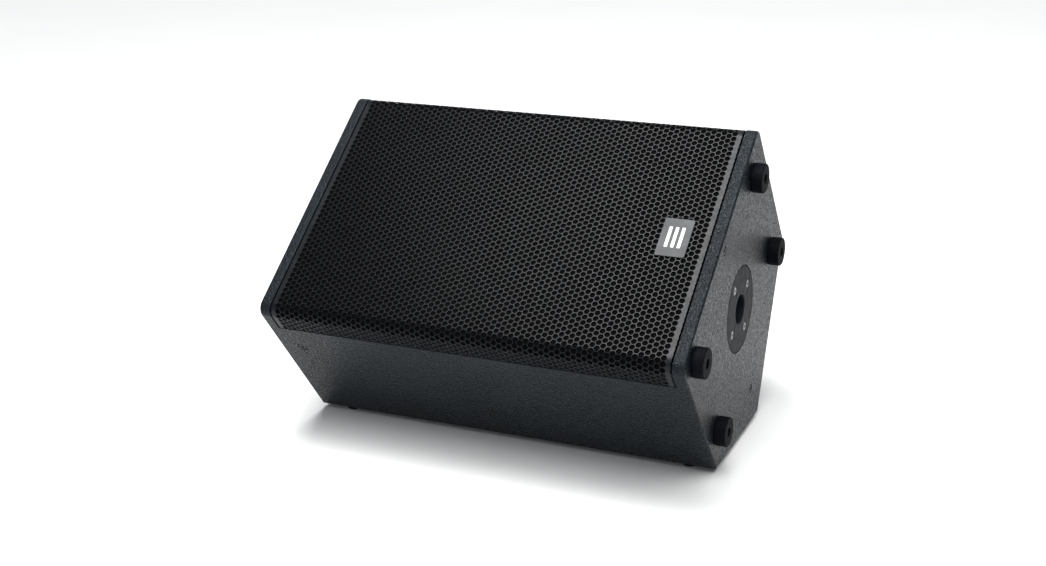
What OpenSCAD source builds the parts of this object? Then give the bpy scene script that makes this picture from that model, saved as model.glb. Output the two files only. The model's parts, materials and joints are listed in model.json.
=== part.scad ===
// Stage monitor wedge: a two-way loudspeaker cabinet that lies on its slanted monitor face.
// The cabinet is drawn in its own frame: X along its length, Y across the front from the near
// side to the far side, Z out of the front. lay_down() then stands it on the monitor face.

/* [Cabinet] */
// Length over the two end panels
cab_len = 560; // [520:5:620]
// Width of the front, from the near side to the far side
front_w = 357; // [350:1:380]
// Depth of the near and far sides
side_d = 230; // [220:1:250]
// Greatest depth, at the ridge between the monitor face and the rear
ridge_d = 340; // [330:1:370]
// Distance of the ridge from the near side
ridge_y = 148; // [140:1:160]
// Thickness of the cabinet panels
panel_t = 15; // [15:1:16]
// Thickness of the baffle
baffle_t = 18; // [15:1:18]
// Depth of the baffle's front face behind the cabinet's front
baffle_d = 28; // [26:1:32]
// Rounding of the two long front edges
front_r = 14; // [10:1:18]
// Rounding of the other long edges
edge_r = 3; // [2:0.5:5]

/* [Grille] */
// Thickness of the grille sheet
grille_t = 1.2; // [1:0.1:1.6]
// Depth to which the grille wraps round each long side
grille_wrap = 38; // [30:1:45]
// Gap between the grille and each end panel
grille_gap = 2.2; // [0.5:0.1:3]
// Step of the grille below the end panels' edges
grille_inset = 0.4; // [0.2:0.1:1]
// Thickness of the foam behind the grille
foam_t = 5; // [4:0.5:8]
// Length of the badge across the front
badge_len = 55; // [40:1:60]
// Width of the badge along the cabinet
badge_w = 37; // [30:1:45]

/* [Pole mount] */
// Bore that takes a 35 mm loudspeaker pole
pole_bore_d = 36.5; // [35.4:0.1:38]
// Depth of the bore below its chamfer
pole_bore_l = 76; // [60:1:78]
// Diameter of the flange
pole_flange_d = 109; // [100:1:115]
// Circle of the flange's four screws
pole_pcd = 78; // [70:1:84]

/* [Feet] */
// Diameter of the four feet on the end
end_foot_d = 37; // [34:1:40]
// Height of the four feet on the end
end_foot_h = 15; // [12:1:18]
// Diameter of the low feet under the monitor face
floor_foot_d = 22; // [18:1:26]
// Height of the low feet under the monitor face
floor_foot_h = 7; // [5:1:10]

/* [Bass driver] */
// Outside diameter of the basket
woofer_d = 314; // [305:1:318]
// Diameter of the voice coil former
coil_d = 75; // [65:1:77]
// Distance of the bass driver from the middle of the cabinet
woofer_x = 92; // [85:1:95]

/* [High-frequency driver] */
// Side of the horn's square flange
horn_w = 165; // [160:1:170]
// Depth of the horn behind the baffle's front face
horn_l = 95; // [80:1:105]
// Distance of the horn from the middle of the cabinet
horn_x = -160; // [-162:1:-158]
// Diameter of the diaphragm's dome
dome_d = 50; // [44:1:52]

/* [Hidden] */
$fn = 64;

// Small clearances: between a screw and its hole, and between separate moving bodies
screw_gap = 0.1;
run_gap = 0.5;

// The corners of the cross-section, from the near front edge round by the far side
near_front = [0, 0];
far_front = [front_w, 0];
far_back = [front_w, -side_d];
ridge = [ridge_y, -ridge_d];
near_back = [0, -side_d];
section = [near_front, far_front, far_back, ridge, near_back];
section_r = [front_r, front_r, edge_r, edge_r, edge_r];

monitor_tilt = atan((ridge_d - side_d) / ridge_y);
rear_tilt = atan((ridge_d - side_d) / (front_w - ridge_y));
monitor_w = norm(ridge - near_back);
rear_w = norm(far_back - ridge);
half_len = cab_len / 2;
inner_half = half_len - panel_t;
mid_y = front_w / 2;

// Where the laid-down section reaches in Y and Z, which sets the origin under its middle
lean = [cos(monitor_tilt), sin(monitor_tilt)];
front_reach = front_r * (lean[0] + lean[1] - 1);
far_round = round_centre(far_front, far_back, ridge, edge_r);
back_reach = far_round[0] * lean[0] - far_round[1] * lean[1] + edge_r;
origin_y = (front_reach + back_reach) / 2;
origin_x = end_foot_h / 2;
floor_lift = floor_foot_h - (near_back[0] * lean[1] + near_back[1] * lean[0]);

// Pole mount, feet and rigging points, as [across the front, out of the front] on an end panel
pole_at = [177, -137];
end_foot_spots = [[32, -30], [32, -188], [307, -38], [307, -192]];
end_rig_spots = [[177, -14], [145.5, -277]];
near_rig_spots = [[-247, -80], [-5, -167]];
far_rig_spots = [[-247, -80]];
floor_foot_x = 240;
floor_foot_edge = 20;
rig_insert_r = 6.5;
rig_screw_r = 4;
rig_head_r = 5.5;
rig_sink = 2.6;

flange_t = 4;
flange_gap = 1.3;
cup_wall = 2.7;
cup_r = pole_bore_d / 2 + cup_wall;
bore_chamfer = 1;
flange_screw_r = 3;
flange_head_r = 5.2;
flange_head_t = 2.5;

foot_recess_r = 6;
foot_recess_d = 7;
foot_screw_r = 2.5;
foot_screw_head_r = 4.4;
foot_washer_r = 5.6;
foot_washer_t = 1.2;
floor_screw_r = 1.9;
floor_head_r = 4.2;

// Handle in the far side
handle_x = 25;
handle_z = -135;
handle_l = 150;
handle_h = 100;
handle_depth = 55;
handle_flange = 16;
handle_wall = 2.5;
handle_flange_t = 3;
handle_bar_r = 11;
handle_bar_in = 14;
handle_pin_r = 4;
handle_screw_r = 2.2;
handle_head_r = 4.2;

// Connector dish in the rear
dish_l = 110;
dish_h = 60;
dish_depth = 22;
dish_flange = 15;
dish_t = 2;
dish_screw_r = 2;
dish_head_r = 3.8;
socket_pitch = 52;
socket_r = 11;
socket_spigot_r = 7.4;
socket_shell_r = 12.6;
socket_plate = [26, 31];
socket_plate_t = 3;
socket_l = 24;
socket_screw_at = [9.6, 12];
socket_screw_r = 1.5;

// Bass driver, measured out of the baffle's front face
baffle_z = -baffle_d;
woofer_r = woofer_d / 2;
woofer_cut_r = 141;
basket_flange_t = 4;
flange_z = baffle_z + basket_flange_t;
basket_wall_r = 134;
lip_out_r = 146.5;
roll_out_r = 141.5;
roll_in_r = 126.5;
lip_in_r = 119.5;
roll_t = 0.8;
roll_steps = 12;
woofer_screw_pcd_r = 151.5;
woofer_screws_n = 8;
woofer_screw_r = 2.5;
woofer_head_r = 4.5;
cone_edge_z = flange_z - 0.3;
cone_neck_z = -84;
cone_t = 1;
cone_steps = 10;
cone_curve = 1.35;
coil_r = coil_d / 2;
former_t = 0.5;
neck_r = coil_r + former_t;
former_foot_z = -128;
winding_t = 1.2;
winding_l = 22;
winding_z = -106;
cap_r = 50;
cap_rise = 16;
spider_z = -94;
spider_out_r = 85;
spider_in_r = coil_r + former_t + 0.4;
spider_wave = 1.4;
spider_waves = 4;
spider_t = 0.6;
spider_steps = 8;
yoke_z = -112;
basket_foot_r = 92;
basket_foot_in = 60;
top_plate_r = 80;
top_plate_t = 10;
magnet_z = yoke_z - top_plate_t;
magnet_r = 95;
magnet_in_r = 50;
magnet_t = 22;
back_plate_z = magnet_z - magnet_t;
back_plate_r = 85;
back_plate_t = 10;
pole_piece_r = coil_r - run_gap;
pole_vent_r = 14;
basket_arms = 8;
basket_arm_w = 16;
basket_bolts_n = 6;
basket_bolt_at = 70;
basket_bolt_r = 2.5;

// Horn and its driver
horn_flange_t = 4;
horn_mouth_r = 72;
horn_throat_r = 12.7;
horn_wall = 3;
horn_curve = 1.5;
horn_rings = 10;
horn_foot_r = 45;
horn_foot_t = 6;
horn_screw_at = 74;
horn_screw_r = 2.2;
horn_head_r = 4.2;
throat_z = baffle_z - horn_l;
hf_front_t = 12;
hf_plate_r = 50;
hf_magnet_r = 60;
hf_magnet_in = 36;
hf_magnet_t = 18;
hf_back_t = 8;
hf_gap_in = 24.6;
hf_gap_out = 26.6;
hf_cover_r = 50;
hf_cover_depth = 26;
hf_cover_t = 2;
hf_bolt_at = 36;
hf_bolt_r = 2.8;
hf_front_z = throat_z;
hf_magnet_z = hf_front_z - hf_front_t;
hf_back_z = hf_magnet_z - hf_magnet_t;
hf_cover_z = hf_back_z - hf_back_t;
dome_r = dome_d / 2;
dome_t = 0.4;
dome_rise = 9;
dome_lip_r = 30;
dome_z = hf_cover_z - 5;

// Reflex ports, beside the horn
port_in_r = 33;
port_wall = 2.5;
port_lip_r = 39;
port_lip_t = 3;
port_l = 110;
port_edge = panel_t + 40.5;

// Battens behind the baffle, and the frame of plywood between the two drivers
batten_w = 18;
brace_x = -74;
brace_t = 12;
brace_rim = 32;
brace_gap = 0.2;

// Crossover, on the inside of the monitor panel
board_size = [150, 90, 1.6];
board_x = 16;
board_s = 92;
board_stand = 10;
board_inset = 6;
board_screw_r = 1.5;
board_z = panel_t + board_stand;
coil_spots = [[-48, -18], [-8, 20], [46, -14]];
coil_size = [[17, 20], [14, 14], [12, 12]];
cap_spots = [[-52, 26, 34], [27, 30, 30], [57, 12, 24]];
resistor_spots = [-16, -4, 8];

// Grille fixings, and the foam between the grille and the baffle
grille_half = inner_half - grille_gap;
rebate = 2;
flange_end = -grille_wrap - 1.2;
badge_x = 221;
badge_t = 1.4;
catch_x = 250;
catch_y = 34;
catch_r = 8;
catch_h = 15;
stud_r = 3;
stud_l = 22;
side_top = -16;
foam_from = grille_t + 0.1;
foam_wrap = -side_top - 0.2;
foam_z = -grille_inset - foam_from;

// Internal wires: hand-placed points in the cabinet's frame
lead_r = 2.5;
lead_sides = 8;
lead_fill = 4;
input_route = [[-26, 231.5, -245], [-26, 225, -233], [-24, 205, -222], [-20, 165, -220], [-16, 130, -230],
  [-14, 106, -246], [-14, 97, -261]];
woofer_route = [[40, 92, -262], [41, 84, -244], [62, 76, -208], [88, 71, -160], [92, 74, -124],
  [92, 80, -101]];
driver_route = [[-50, 94, -262], [-56, 100, -248], [-68, 108, -236], [-90, 110, -230], [-120, 108, -220],
  [-144, 106, -204], [-158, 108, -184], [-160, 114, -174], [-160, 127, -173]];

wool_t = 25;

function unit(v) = v / norm(v);
function half_angle(a, p, b) = acos(unit(a - p) * unit(b - p)) / 2;
function round_centre(a, p, b, r) = p + unit(unit(a - p) + unit(b - p)) * r / sin(half_angle(a, p, b));
function corner_arc(a, p, b, r, steps = 8) =
  let (
    c = round_centre(a, p, b, r),
    reach = r / tan(half_angle(a, p, b)),
    from = p + unit(a - p) * reach - c,
    to = p + unit(b - p) * reach - c,
    start = atan2(from[1], from[0]),
    turn = (atan2(to[1], to[0]) - start + 540) % 360 - 180
  )
  [for (i = [0:steps]) c + r * [cos(start + turn * i / steps), sin(start + turn * i / steps)]];
function outline(radii) = [
  for (i = [0:4]) each corner_arc(section[(i + 4) % 5], section[i], section[(i + 1) % 5], radii[i])
];
// A corner of the section moved inward by t from both its sides
function inner(i, t) = round_centre(section[(i + 4) % 5], section[i], section[(i + 1) % 5], t);

// Catmull-Rom curve through a route's points
function spline(p, i, t) =
  let (
    a = p[max(i - 1, 0)],
    b = p[i],
    c = p[i + 1],
    d = p[min(i + 2, len(p) - 1)]
  )
  0.5 * (2 * b + (c - a) * t + (2 * a - 5 * b + 4 * c - d) * t * t + (3 * b - a - 3 * c + d) * t * t * t);
function smooth(p) = [
  for (i = [0:len(p) - 2]) for (k = [0:lead_fill - 1]) spline(p, i, k / lead_fill),
  p[len(p) - 1]
];
function flow(p, i) = unit(p[min(i + 1, len(p) - 1)] - p[max(i - 1, 0)]);

// The cabinet's frame laid on the monitor face, with the origin on the floor under the middle
module lay_down() {
  translate([-origin_x, -origin_y, floor_lift]) rotate([monitor_tilt, 0, 0]) children();
}

module along(x0, x1) {
  translate([x0, 0, 0]) rotate([90, 0, 90]) linear_extrude(x1 - x0) children();
}

// X along the cabinet, Y from the near edge to the ridge, Z inward from the monitor face
module on_monitor(x, s, n = 0) {
  translate([x, near_back[0], near_back[1]]) rotate([-monitor_tilt, 0, 0]) translate([0, s, n]) children();
}

// X along the cabinet, Y from the ridge to the far edge, Z inward from the rear face
module on_rear(x, s, n = 0) {
  translate([x, ridge[0], ridge[1]]) rotate([rear_tilt, 0, 0]) translate([0, s, n]) children();
}

// Z out of an end panel: side is 1 for the end with the pole mount, -1 for the other
module on_end(side, at) {
  translate([side * half_len, at[0], at[1]]) rotate([0, side * 90, 0]) children();
}

module on_near(at) { translate([at[0], 0, at[1]]) rotate([90, 0, 0]) children(); }

module on_far(at, out = 0) { translate([at[0], front_w + out, at[1]]) rotate([-90, 0, 0]) children(); }

module ring(r_out, r_in, h) {
  difference() {
    cylinder(r = r_out, h = h);
    translate([0, 0, -1]) cylinder(r = r_in, h = h + 2);
  }
}

// Cap-head screw with a hexagon socket: its head stands on z = 0 and its shank goes down
module cap_screw(r, head_r, head_t, l) {
  socket_r = head_r * 0.5;
  difference() {
    union() {
      cylinder(r = head_r, h = head_t);
      translate([0, 0, -l]) cylinder(r = r, h = l + head_t / 2);
    }
    translate([0, 0, head_t * 0.4]) cylinder(r = socket_r, h = head_t, $fn = 6);
  }
}

// Hole for a screw, from l below z = 0 to just above it
module screw_hole(r, l, above = 1) {
  translate([0, 0, -l]) cylinder(r = r + screw_gap, h = l + above);
}

module at_woofer() { translate([woofer_x, mid_y, 0]) children(); }
module at_horn() { translate([horn_x, mid_y, 0]) children(); }
module at_port(side) { translate([horn_x, mid_y + side * (mid_y - port_edge), baffle_z]) children(); }
module each_catch() {
  for (x = [-catch_x, catch_x], y = [catch_y, front_w - catch_y]) translate([x, y, 0]) children();
}
module each_woofer_screw() {
  for (i = [0:woofer_screws_n - 1]) at_woofer() rotate([0, 0, (i + 0.5) * 360 / woofer_screws_n])
    translate([woofer_screw_pcd_r, 0, flange_z]) children();
}
module each_horn_screw() {
  for (x = [-1, 1], y = [-1, 1]) at_horn()
    translate([x * horn_screw_at, y * horn_screw_at, baffle_z + horn_flange_t]) children();
}
module each_hf_bolt() {
  for (i = [0:3]) at_horn() rotate([0, 0, 45 + 90 * i])
    translate([hf_bolt_at, 0, throat_z + horn_foot_t]) children();
}
module each_basket_bolt() {
  for (i = [0:basket_bolts_n - 1]) at_woofer() rotate([0, 0, i * 360 / basket_bolts_n])
    translate([basket_bolt_at, 0, yoke_z + 6]) children();
}
module each_flange_screw() {
  for (i = [0:3]) on_end(1, pole_at) rotate([0, 0, 90 * i]) translate([pole_pcd / 2, 0, 0]) children();
}
module each_floor_foot() {
  for (x = [-floor_foot_x, floor_foot_x], s = [floor_foot_edge, monitor_w - floor_foot_edge])
    on_monitor(x, s) rotate([180, 0, 0]) children();
}
module each_end_foot() {
  for (at = end_foot_spots) on_end(1, at) children();
}
module each_rig_point() {
  for (at = end_rig_spots, side = [-1, 1]) on_end(side, at) children();
  for (at = near_rig_spots) on_near(at) children();
  for (at = far_rig_spots) on_far(at) children();
}
module each_handle_screw() {
  for (x = [-1, 1], z = [-1, 1])
    on_far([handle_x + x * (handle_l + handle_flange) / 2, handle_z + z * (handle_h + handle_flange) / 2],
      handle_flange_t) children();
}
module each_dish_screw() {
  for (x = [-1, 1], s = [-1, 1])
    on_rear(x * (dish_l + dish_flange) / 2, rear_w / 2 + s * (dish_h + dish_flange) / 2, -dish_t)
      rotate([180, 0, 0]) children();
}
module each_socket_screw(side) {
  for (k = [-1, 1])
    on_rear(side * socket_pitch / 2 + k * socket_screw_at[0], rear_w / 2 + k * socket_screw_at[1],
      dish_depth - dish_t - socket_plate_t) rotate([180, 0, 0]) children();
}
module on_board() { on_monitor(board_x, board_s, board_z + board_size[2]) children(); }
module each_board_corner() {
  corner = [board_size[0] / 2 - board_inset, board_size[1] / 2 - board_inset];
  for (x = [-1, 1], s = [-1, 1])
    on_monitor(board_x + x * corner[0], board_s + s * corner[1], panel_t) children();
}

module rig_hole() { translate([0, 0, -panel_t - 1]) cylinder(r = rig_insert_r + screw_gap, h = panel_t + 2); }

module end_plate(side) {
  x0 = side > 0 ? inner_half : -half_len;
  difference() {
    along(x0, x0 + panel_t) polygon(outline(section_r));
    for (at = end_rig_spots) on_end(side, at) rig_hole();
  }
}

module left_end_panel() color("#2a2a2c") lay_down() end_plate(-1);

module right_end_panel() color("#2a2a2c") lay_down() difference() {
  end_plate(1);
  on_end(1, pole_at) {
    translate([0, 0, -flange_t]) cylinder(r = pole_flange_d / 2 + flange_gap, h = flange_t + 1);
    translate([0, 0, -panel_t - 1]) cylinder(r = cup_r + screw_gap, h = panel_t + 2);
  }
  each_flange_screw() screw_hole(flange_screw_r, panel_t + 1);
  each_end_foot() screw_hole(foot_screw_r, panel_t + 1);
}

// A long panel: the slice of the section between two mitres, cut by the rounded outline
module long_panel(points) {
  along(-inner_half, inner_half) intersection() {
    polygon(points);
    polygon(outline(section_r));
  }
}

module near_side_panel() color("#232326") lay_down() difference() {
  long_panel([near_back, inner(4, panel_t), [panel_t, side_top], [rebate, side_top], [rebate, flange_end],
    [0, flange_end]]);
  for (at = near_rig_spots) on_near(at) rig_hole();
}

module far_side_panel() color("#232326") lay_down() difference() {
  long_panel([far_back, [front_w, flange_end], [front_w - rebate, flange_end],
    [front_w - rebate, side_top], [front_w - panel_t, side_top], inner(2, panel_t)]);
  for (at = far_rig_spots) on_far(at) rig_hole();
  translate([handle_x, front_w, handle_z])
    cube([handle_l + 2 * handle_wall + 1, 3 * panel_t, handle_h + 2 * handle_wall + 1], center = true);
  each_handle_screw() screw_hole(handle_screw_r, panel_t + handle_flange_t + 1);
}

module monitor_panel() color("#232326") lay_down() difference() {
  long_panel([near_back, ridge, inner(3, panel_t), inner(4, panel_t)]);
  each_floor_foot() screw_hole(floor_screw_r, 13);
  each_board_corner() screw_hole(board_screw_r, 10);
}

module rear_panel() color("#232326") lay_down() difference() {
  long_panel([ridge, far_back, inner(2, panel_t), inner(3, panel_t)]);
  on_rear(0, rear_w / 2) cube([dish_l + 1, dish_h + 1, 3 * panel_t], center = true);
  each_dish_screw() screw_hole(dish_screw_r, panel_t);
}

module baffle() color("#2b2a28") lay_down() difference() {
  translate([-inner_half, panel_t, baffle_z - baffle_t])
    cube([2 * inner_half, front_w - 2 * panel_t, baffle_t]);
  at_woofer() translate([0, 0, baffle_z - baffle_t - 1]) cylinder(r = woofer_cut_r, h = baffle_t + 2);
  at_horn() translate([0, 0, baffle_z - baffle_t - 1])
    cylinder(r = horn_mouth_r + horn_wall + screw_gap, h = baffle_t + 2);
  for (side = [-1, 1]) at_port(side) translate([0, 0, -baffle_t - 1])
    cylinder(r = port_in_r + port_wall + screw_gap, h = baffle_t + 2);
  each_woofer_screw() screw_hole(woofer_screw_r, 20);
  each_horn_screw() screw_hole(horn_screw_r, 20);
}

module baffle_battens() color("#a98556") lay_down() difference() {
  for (y = [panel_t, front_w - panel_t - batten_w])
    translate([-inner_half, y, baffle_z - baffle_t - batten_w]) cube([2 * inner_half, batten_w, batten_w]);
  for (side = [-1, 1]) at_port(side) translate([0, 0, -port_l])
    cylinder(r = port_in_r + port_wall + 0.5, h = port_l);
}

// A frame of plywood across the cabinet between the two drivers, open in its middle
module window_brace() color("#a98556") lay_down() {
  top = baffle_z - baffle_t - batten_w - brace_gap;
  side = panel_t + brace_gap;
  rim = brace_rim;
  along(brace_x, brace_x + brace_t) difference() {
    polygon([[side, top], [front_w - side, top], inner(2, side), inner(3, side), inner(4, side)]);
    polygon([[side + rim, top - rim], [front_w - side - rim, top - rim], inner(2, side + rim),
      inner(3, side + rim), inner(4, side + rim)]);
  }
}

// One half of a bent sheet's profile: front, bend and flange on the near side, at a depth below the
// grille's face
function sheet_edge(t, wrap) =
  let (in = grille_inset + t, r = front_r - t)
  concat([[in, -wrap]],
    [for (i = [0:8]) [in + r - r * cos(90 * i / 8), -in - r + r * sin(90 * i / 8)]]);
function mirrored(points) = [for (p = points) [front_w - p[0], p[1]]];
function reversed(points) = [for (i = [len(points) - 1:-1:0]) points[i]];

// A sheet bent over both long front edges, between two depths
module bent_sheet(from, to, wrap) polygon(concat(
  sheet_edge(from, wrap), reversed(mirrored(sheet_edge(from, wrap))),
  mirrored(sheet_edge(to, wrap)), reversed(sheet_edge(to, wrap))
));

module grille() color("#3a3a3c") lay_down()
  along(-grille_half, grille_half) bent_sheet(0, grille_t, grille_wrap);

module grille_foam() color("#141414") lay_down() difference() {
  along(-grille_half + 1, grille_half - 1) bent_sheet(foam_from, foam_from + foam_t, foam_wrap);
  each_catch() translate([0, 0, foam_z - foam_t - 1]) cylinder(r = stud_r + screw_gap, h = foam_t + 2);
}

module grille_studs() color("#77797c") lay_down()
  each_catch() translate([0, 0, -grille_inset - grille_t - stud_l]) cylinder(r = stud_r, h = stud_l);

module grille_catches() color("#1b1b1b") lay_down()
  each_catch() translate([0, 0, baffle_z]) difference() {
    cylinder(r = catch_r, h = catch_h);
    translate([0, 0, 4]) cylinder(r = stud_r + screw_gap, h = catch_h);
  }

module badge() color("#a5a7aa") lay_down() {
  r = 2.5;
  bar = [4, 30];
  translate([badge_x, mid_y, -grille_inset]) {
    linear_extrude(badge_t) {
      square([badge_w, badge_len - 2 * r], center = true);
      square([badge_w - 2 * r, badge_len], center = true);
      for (x = [-1, 1], y = [-1, 1]) translate([x * (badge_w / 2 - r), y * (badge_len / 2 - r)]) circle(r);
    }
    // A plain emblem: three upright bars
    for (i = [-1:1]) translate([i * 8, 0, badge_t]) linear_extrude(0.4) square(bar, center = true);
  }
}

module pole_flange() color("#3c3d40") lay_down() on_end(1, pole_at) difference() {
  union() {
    translate([0, 0, -flange_t]) cylinder(r = pole_flange_d / 2, h = flange_t);
    translate([0, 0, -pole_bore_l - bore_chamfer - cup_wall])
      cylinder(r = cup_r, h = pole_bore_l + bore_chamfer + cup_wall);
  }
  translate([0, 0, -pole_bore_l - bore_chamfer])
    cylinder(r = pole_bore_d / 2, h = pole_bore_l + 2 * bore_chamfer);
  translate([0, 0, -bore_chamfer])
    cylinder(r1 = pole_bore_d / 2, r2 = pole_bore_d / 2 + 2 * bore_chamfer, h = 2 * bore_chamfer);
  for (i = [0:3]) rotate([0, 0, 90 * i]) translate([pole_pcd / 2, 0, 0]) {
    translate([0, 0, -flange_head_t - 0.2]) cylinder(r = flange_head_r + 0.3, h = flange_head_t + 1);
    screw_hole(flange_screw_r, flange_t + 1);
  }
}

module pole_flange_screws() color("#8c8e92") lay_down()
  each_flange_screw() translate([0, 0, -flange_head_t - 0.2])
    cap_screw(flange_screw_r, flange_head_r, flange_head_t, 10);

module end_feet() color("#161616") lay_down() each_end_foot() {
  r = end_foot_d / 2;
  chamfer = 1.5;
  difference() {
    union() {
      cylinder(r1 = r - 0.8, r2 = r, h = 2);
      translate([0, 0, 2]) cylinder(r = r, h = end_foot_h - 2 - chamfer);
      translate([0, 0, end_foot_h - chamfer]) cylinder(r1 = r, r2 = r - chamfer, h = chamfer);
    }
    translate([0, 0, end_foot_h - foot_recess_d]) cylinder(r = foot_recess_r, h = foot_recess_d + 1);
    translate([0, 0, -1]) cylinder(r = foot_screw_r + screw_gap, h = end_foot_h);
  }
}

module end_feet_screws() color("#8c8e92") lay_down() each_end_foot()
  translate([0, 0, end_foot_h - foot_recess_d]) {
    difference() {
      cylinder(r = foot_washer_r, h = foot_washer_t);
      translate([0, 0, -1]) cylinder(r = foot_screw_r + screw_gap, h = foot_washer_t + 2);
    }
    translate([0, 0, foot_washer_t]) cap_screw(foot_screw_r, foot_screw_head_r, 3, 20);
  }

module floor_feet() color("#161616") lay_down() each_floor_foot() {
  r = floor_foot_d / 2;
  chamfer = 1;
  difference() {
    union() {
      cylinder(r = r, h = floor_foot_h - chamfer);
      translate([0, 0, floor_foot_h - chamfer]) cylinder(r1 = r, r2 = r - chamfer, h = chamfer);
    }
    translate([0, 0, floor_foot_h - 4]) cylinder(r = floor_head_r + 0.8, h = 5);
    translate([0, 0, -1]) cylinder(r = floor_screw_r + screw_gap, h = floor_foot_h);
  }
}

module floor_feet_screws() color("#8c8e92") lay_down() each_floor_foot()
  translate([0, 0, floor_foot_h - 4]) cap_screw(floor_screw_r, floor_head_r, 2.4, 14);

module rigging_inserts() color("#9a9c9f") lay_down() each_rig_point()
  translate([0, 0, -panel_t]) ring(rig_insert_r, rig_screw_r + screw_gap, panel_t - rig_sink);

module rigging_screws() color("#6f7174") lay_down() each_rig_point()
  translate([0, 0, -rig_sink]) cap_screw(rig_screw_r, rig_head_r, rig_sink - 0.2, 10);

// Handle cup: a flanged box let into the far side, closed behind
module handle_cup() color("#1d1d1f") lay_down() translate([handle_x, front_w, handle_z]) difference() {
  outer = [handle_l + 2 * handle_wall, handle_depth + handle_wall, handle_h + 2 * handle_wall];
  flange = [handle_l + 2 * handle_flange, handle_flange_t, handle_h + 2 * handle_flange];
  union() {
    translate([-outer[0] / 2, -outer[1], -outer[2] / 2]) cube(outer);
    translate([-flange[0] / 2, 0, -flange[2] / 2]) cube(flange);
  }
  translate([-handle_l / 2, -handle_depth, -handle_h / 2]) cube([handle_l, handle_depth + 10, handle_h]);
  for (x = [-1, 1], z = [-1, 1])
    translate([x * (handle_l + handle_flange) / 2, -1, z * (handle_h + handle_flange) / 2])
      rotate([-90, 0, 0]) cylinder(r = handle_screw_r + screw_gap, h = handle_flange_t + 2);
  translate([-outer[0] / 2 - 1, -handle_bar_in, 0]) rotate([0, 90, 0])
    cylinder(r = handle_pin_r + screw_gap, h = outer[0] + 2);
}

module handle_bar() color("#101011") lay_down() translate([handle_x, front_w - handle_bar_in, handle_z])
  rotate([0, 90, 0]) {
    translate([0, 0, -handle_l / 2 + 0.2]) cylinder(r = handle_bar_r, h = handle_l - 0.4);
    translate([0, 0, -handle_l / 2 - handle_wall]) cylinder(r = handle_pin_r, h = handle_l + 2 * handle_wall);
  }

module handle_screws() color("#6f7174") lay_down()
  each_handle_screw() cap_screw(handle_screw_r, handle_head_r, 2.6, 16);

// Connector dish: a pressed plate let into the rear, with its two sockets in its floor
module connector_dish() color("#1a1a1c") lay_down() difference() {
  floor_n = dish_depth - dish_t;
  flange = [dish_l + 2 * dish_flange, dish_h + 2 * dish_flange];
  on_rear(0, rear_w / 2) difference() {
    union() {
      translate([-flange[0] / 2, -flange[1] / 2, -dish_t]) cube([flange[0], flange[1], dish_t]);
      translate([-dish_l / 2, -dish_h / 2, -1]) cube([dish_l, dish_h, dish_depth + 1]);
    }
    translate([-dish_l / 2 + dish_t, -dish_h / 2 + dish_t, -dish_t - 1])
      cube([dish_l - 2 * dish_t, dish_h - 2 * dish_t, floor_n + dish_t + 1]);
    for (side = [-1, 1]) translate([side * socket_pitch / 2, 0, 0])
      cylinder(r = socket_shell_r + screw_gap, h = dish_depth + 2);
  }
  each_dish_screw() screw_hole(dish_screw_r, 6);
  for (side = [-1, 1]) each_socket_screw(side) screw_hole(socket_screw_r, 12);
}

module dish_screws() color("#6f7174") lay_down()
  each_dish_screw() cap_screw(dish_screw_r, dish_head_r, 2.2, 14);

// A four-pole loudspeaker socket: a square plate with a shell behind it and a keyed spigot inside
module speaker_socket(side) {
  on_rear(side * socket_pitch / 2, rear_w / 2, dish_depth - dish_t) difference() {
    union() {
      translate([-socket_plate[0] / 2, -socket_plate[1] / 2, -socket_plate_t])
        cube([socket_plate[0], socket_plate[1], socket_plate_t]);
      translate([0, 0, -0.5]) cylinder(r = socket_shell_r, h = socket_l + 0.5);
    }
    translate([0, 0, -socket_plate_t - 1]) difference() {
      cylinder(r = socket_r, h = socket_l);
      cylinder(r = socket_spigot_r, h = socket_l + 1);
    }
    for (k = [-1, 1]) translate([k * socket_screw_at[0], k * socket_screw_at[1], -socket_plate_t - 1])
      cylinder(r = socket_screw_r + screw_gap, h = socket_plate_t + 2);
  }
}

module input_socket() color("#1b2a55") lay_down() speaker_socket(-1);
module link_socket() color("#1b2a55") lay_down() speaker_socket(1);
module socket_screws() color("#8c8e92") lay_down()
  for (side = [-1, 1]) each_socket_screw(side) cap_screw(socket_screw_r, 2.6, 1.6, 9);

// Bass driver basket: rim, wall, eight arms and the foot on which the top plate hangs
module woofer_basket() color("#2c2d30") lay_down() difference() {
  at_woofer() {
    rotate_extrude() polygon([[basket_wall_r, baffle_z - 8], [woofer_cut_r - 2, baffle_z - 8],
      [woofer_cut_r - 2, baffle_z], [woofer_r, baffle_z], [woofer_r, flange_z], [basket_wall_r, flange_z]]);
    for (i = [0:basket_arms - 1]) rotate([0, 0, i * 360 / basket_arms]) rotate([90, 0, 0])
      translate([0, 0, -basket_arm_w / 2]) linear_extrude(basket_arm_w)
        polygon([[basket_wall_r, baffle_z - 4], [woofer_cut_r - 2, baffle_z - 4],
          [woofer_cut_r - 3, baffle_z - 12], [basket_foot_r, -97], [basket_foot_r - 4, -97],
          [basket_foot_r - 4, -91]]);
    rotate_extrude() polygon([[basket_foot_in, yoke_z], [basket_foot_r, yoke_z],
      [basket_foot_r, spider_z + 3], [spider_out_r + 1, spider_z + 3],
      [spider_out_r + 1, spider_z - spider_wave - spider_t],
      [spider_out_r - 7, spider_z - spider_wave - spider_t], [spider_out_r - 7, spider_z - 5],
      [spider_out_r + 1, spider_z - 5], [spider_out_r + 1, yoke_z + 6], [basket_foot_in, yoke_z + 6]]);
  }
  each_woofer_screw() screw_hole(woofer_screw_r, 20);
  each_basket_bolt() screw_hole(basket_bolt_r, 20);
}

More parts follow.
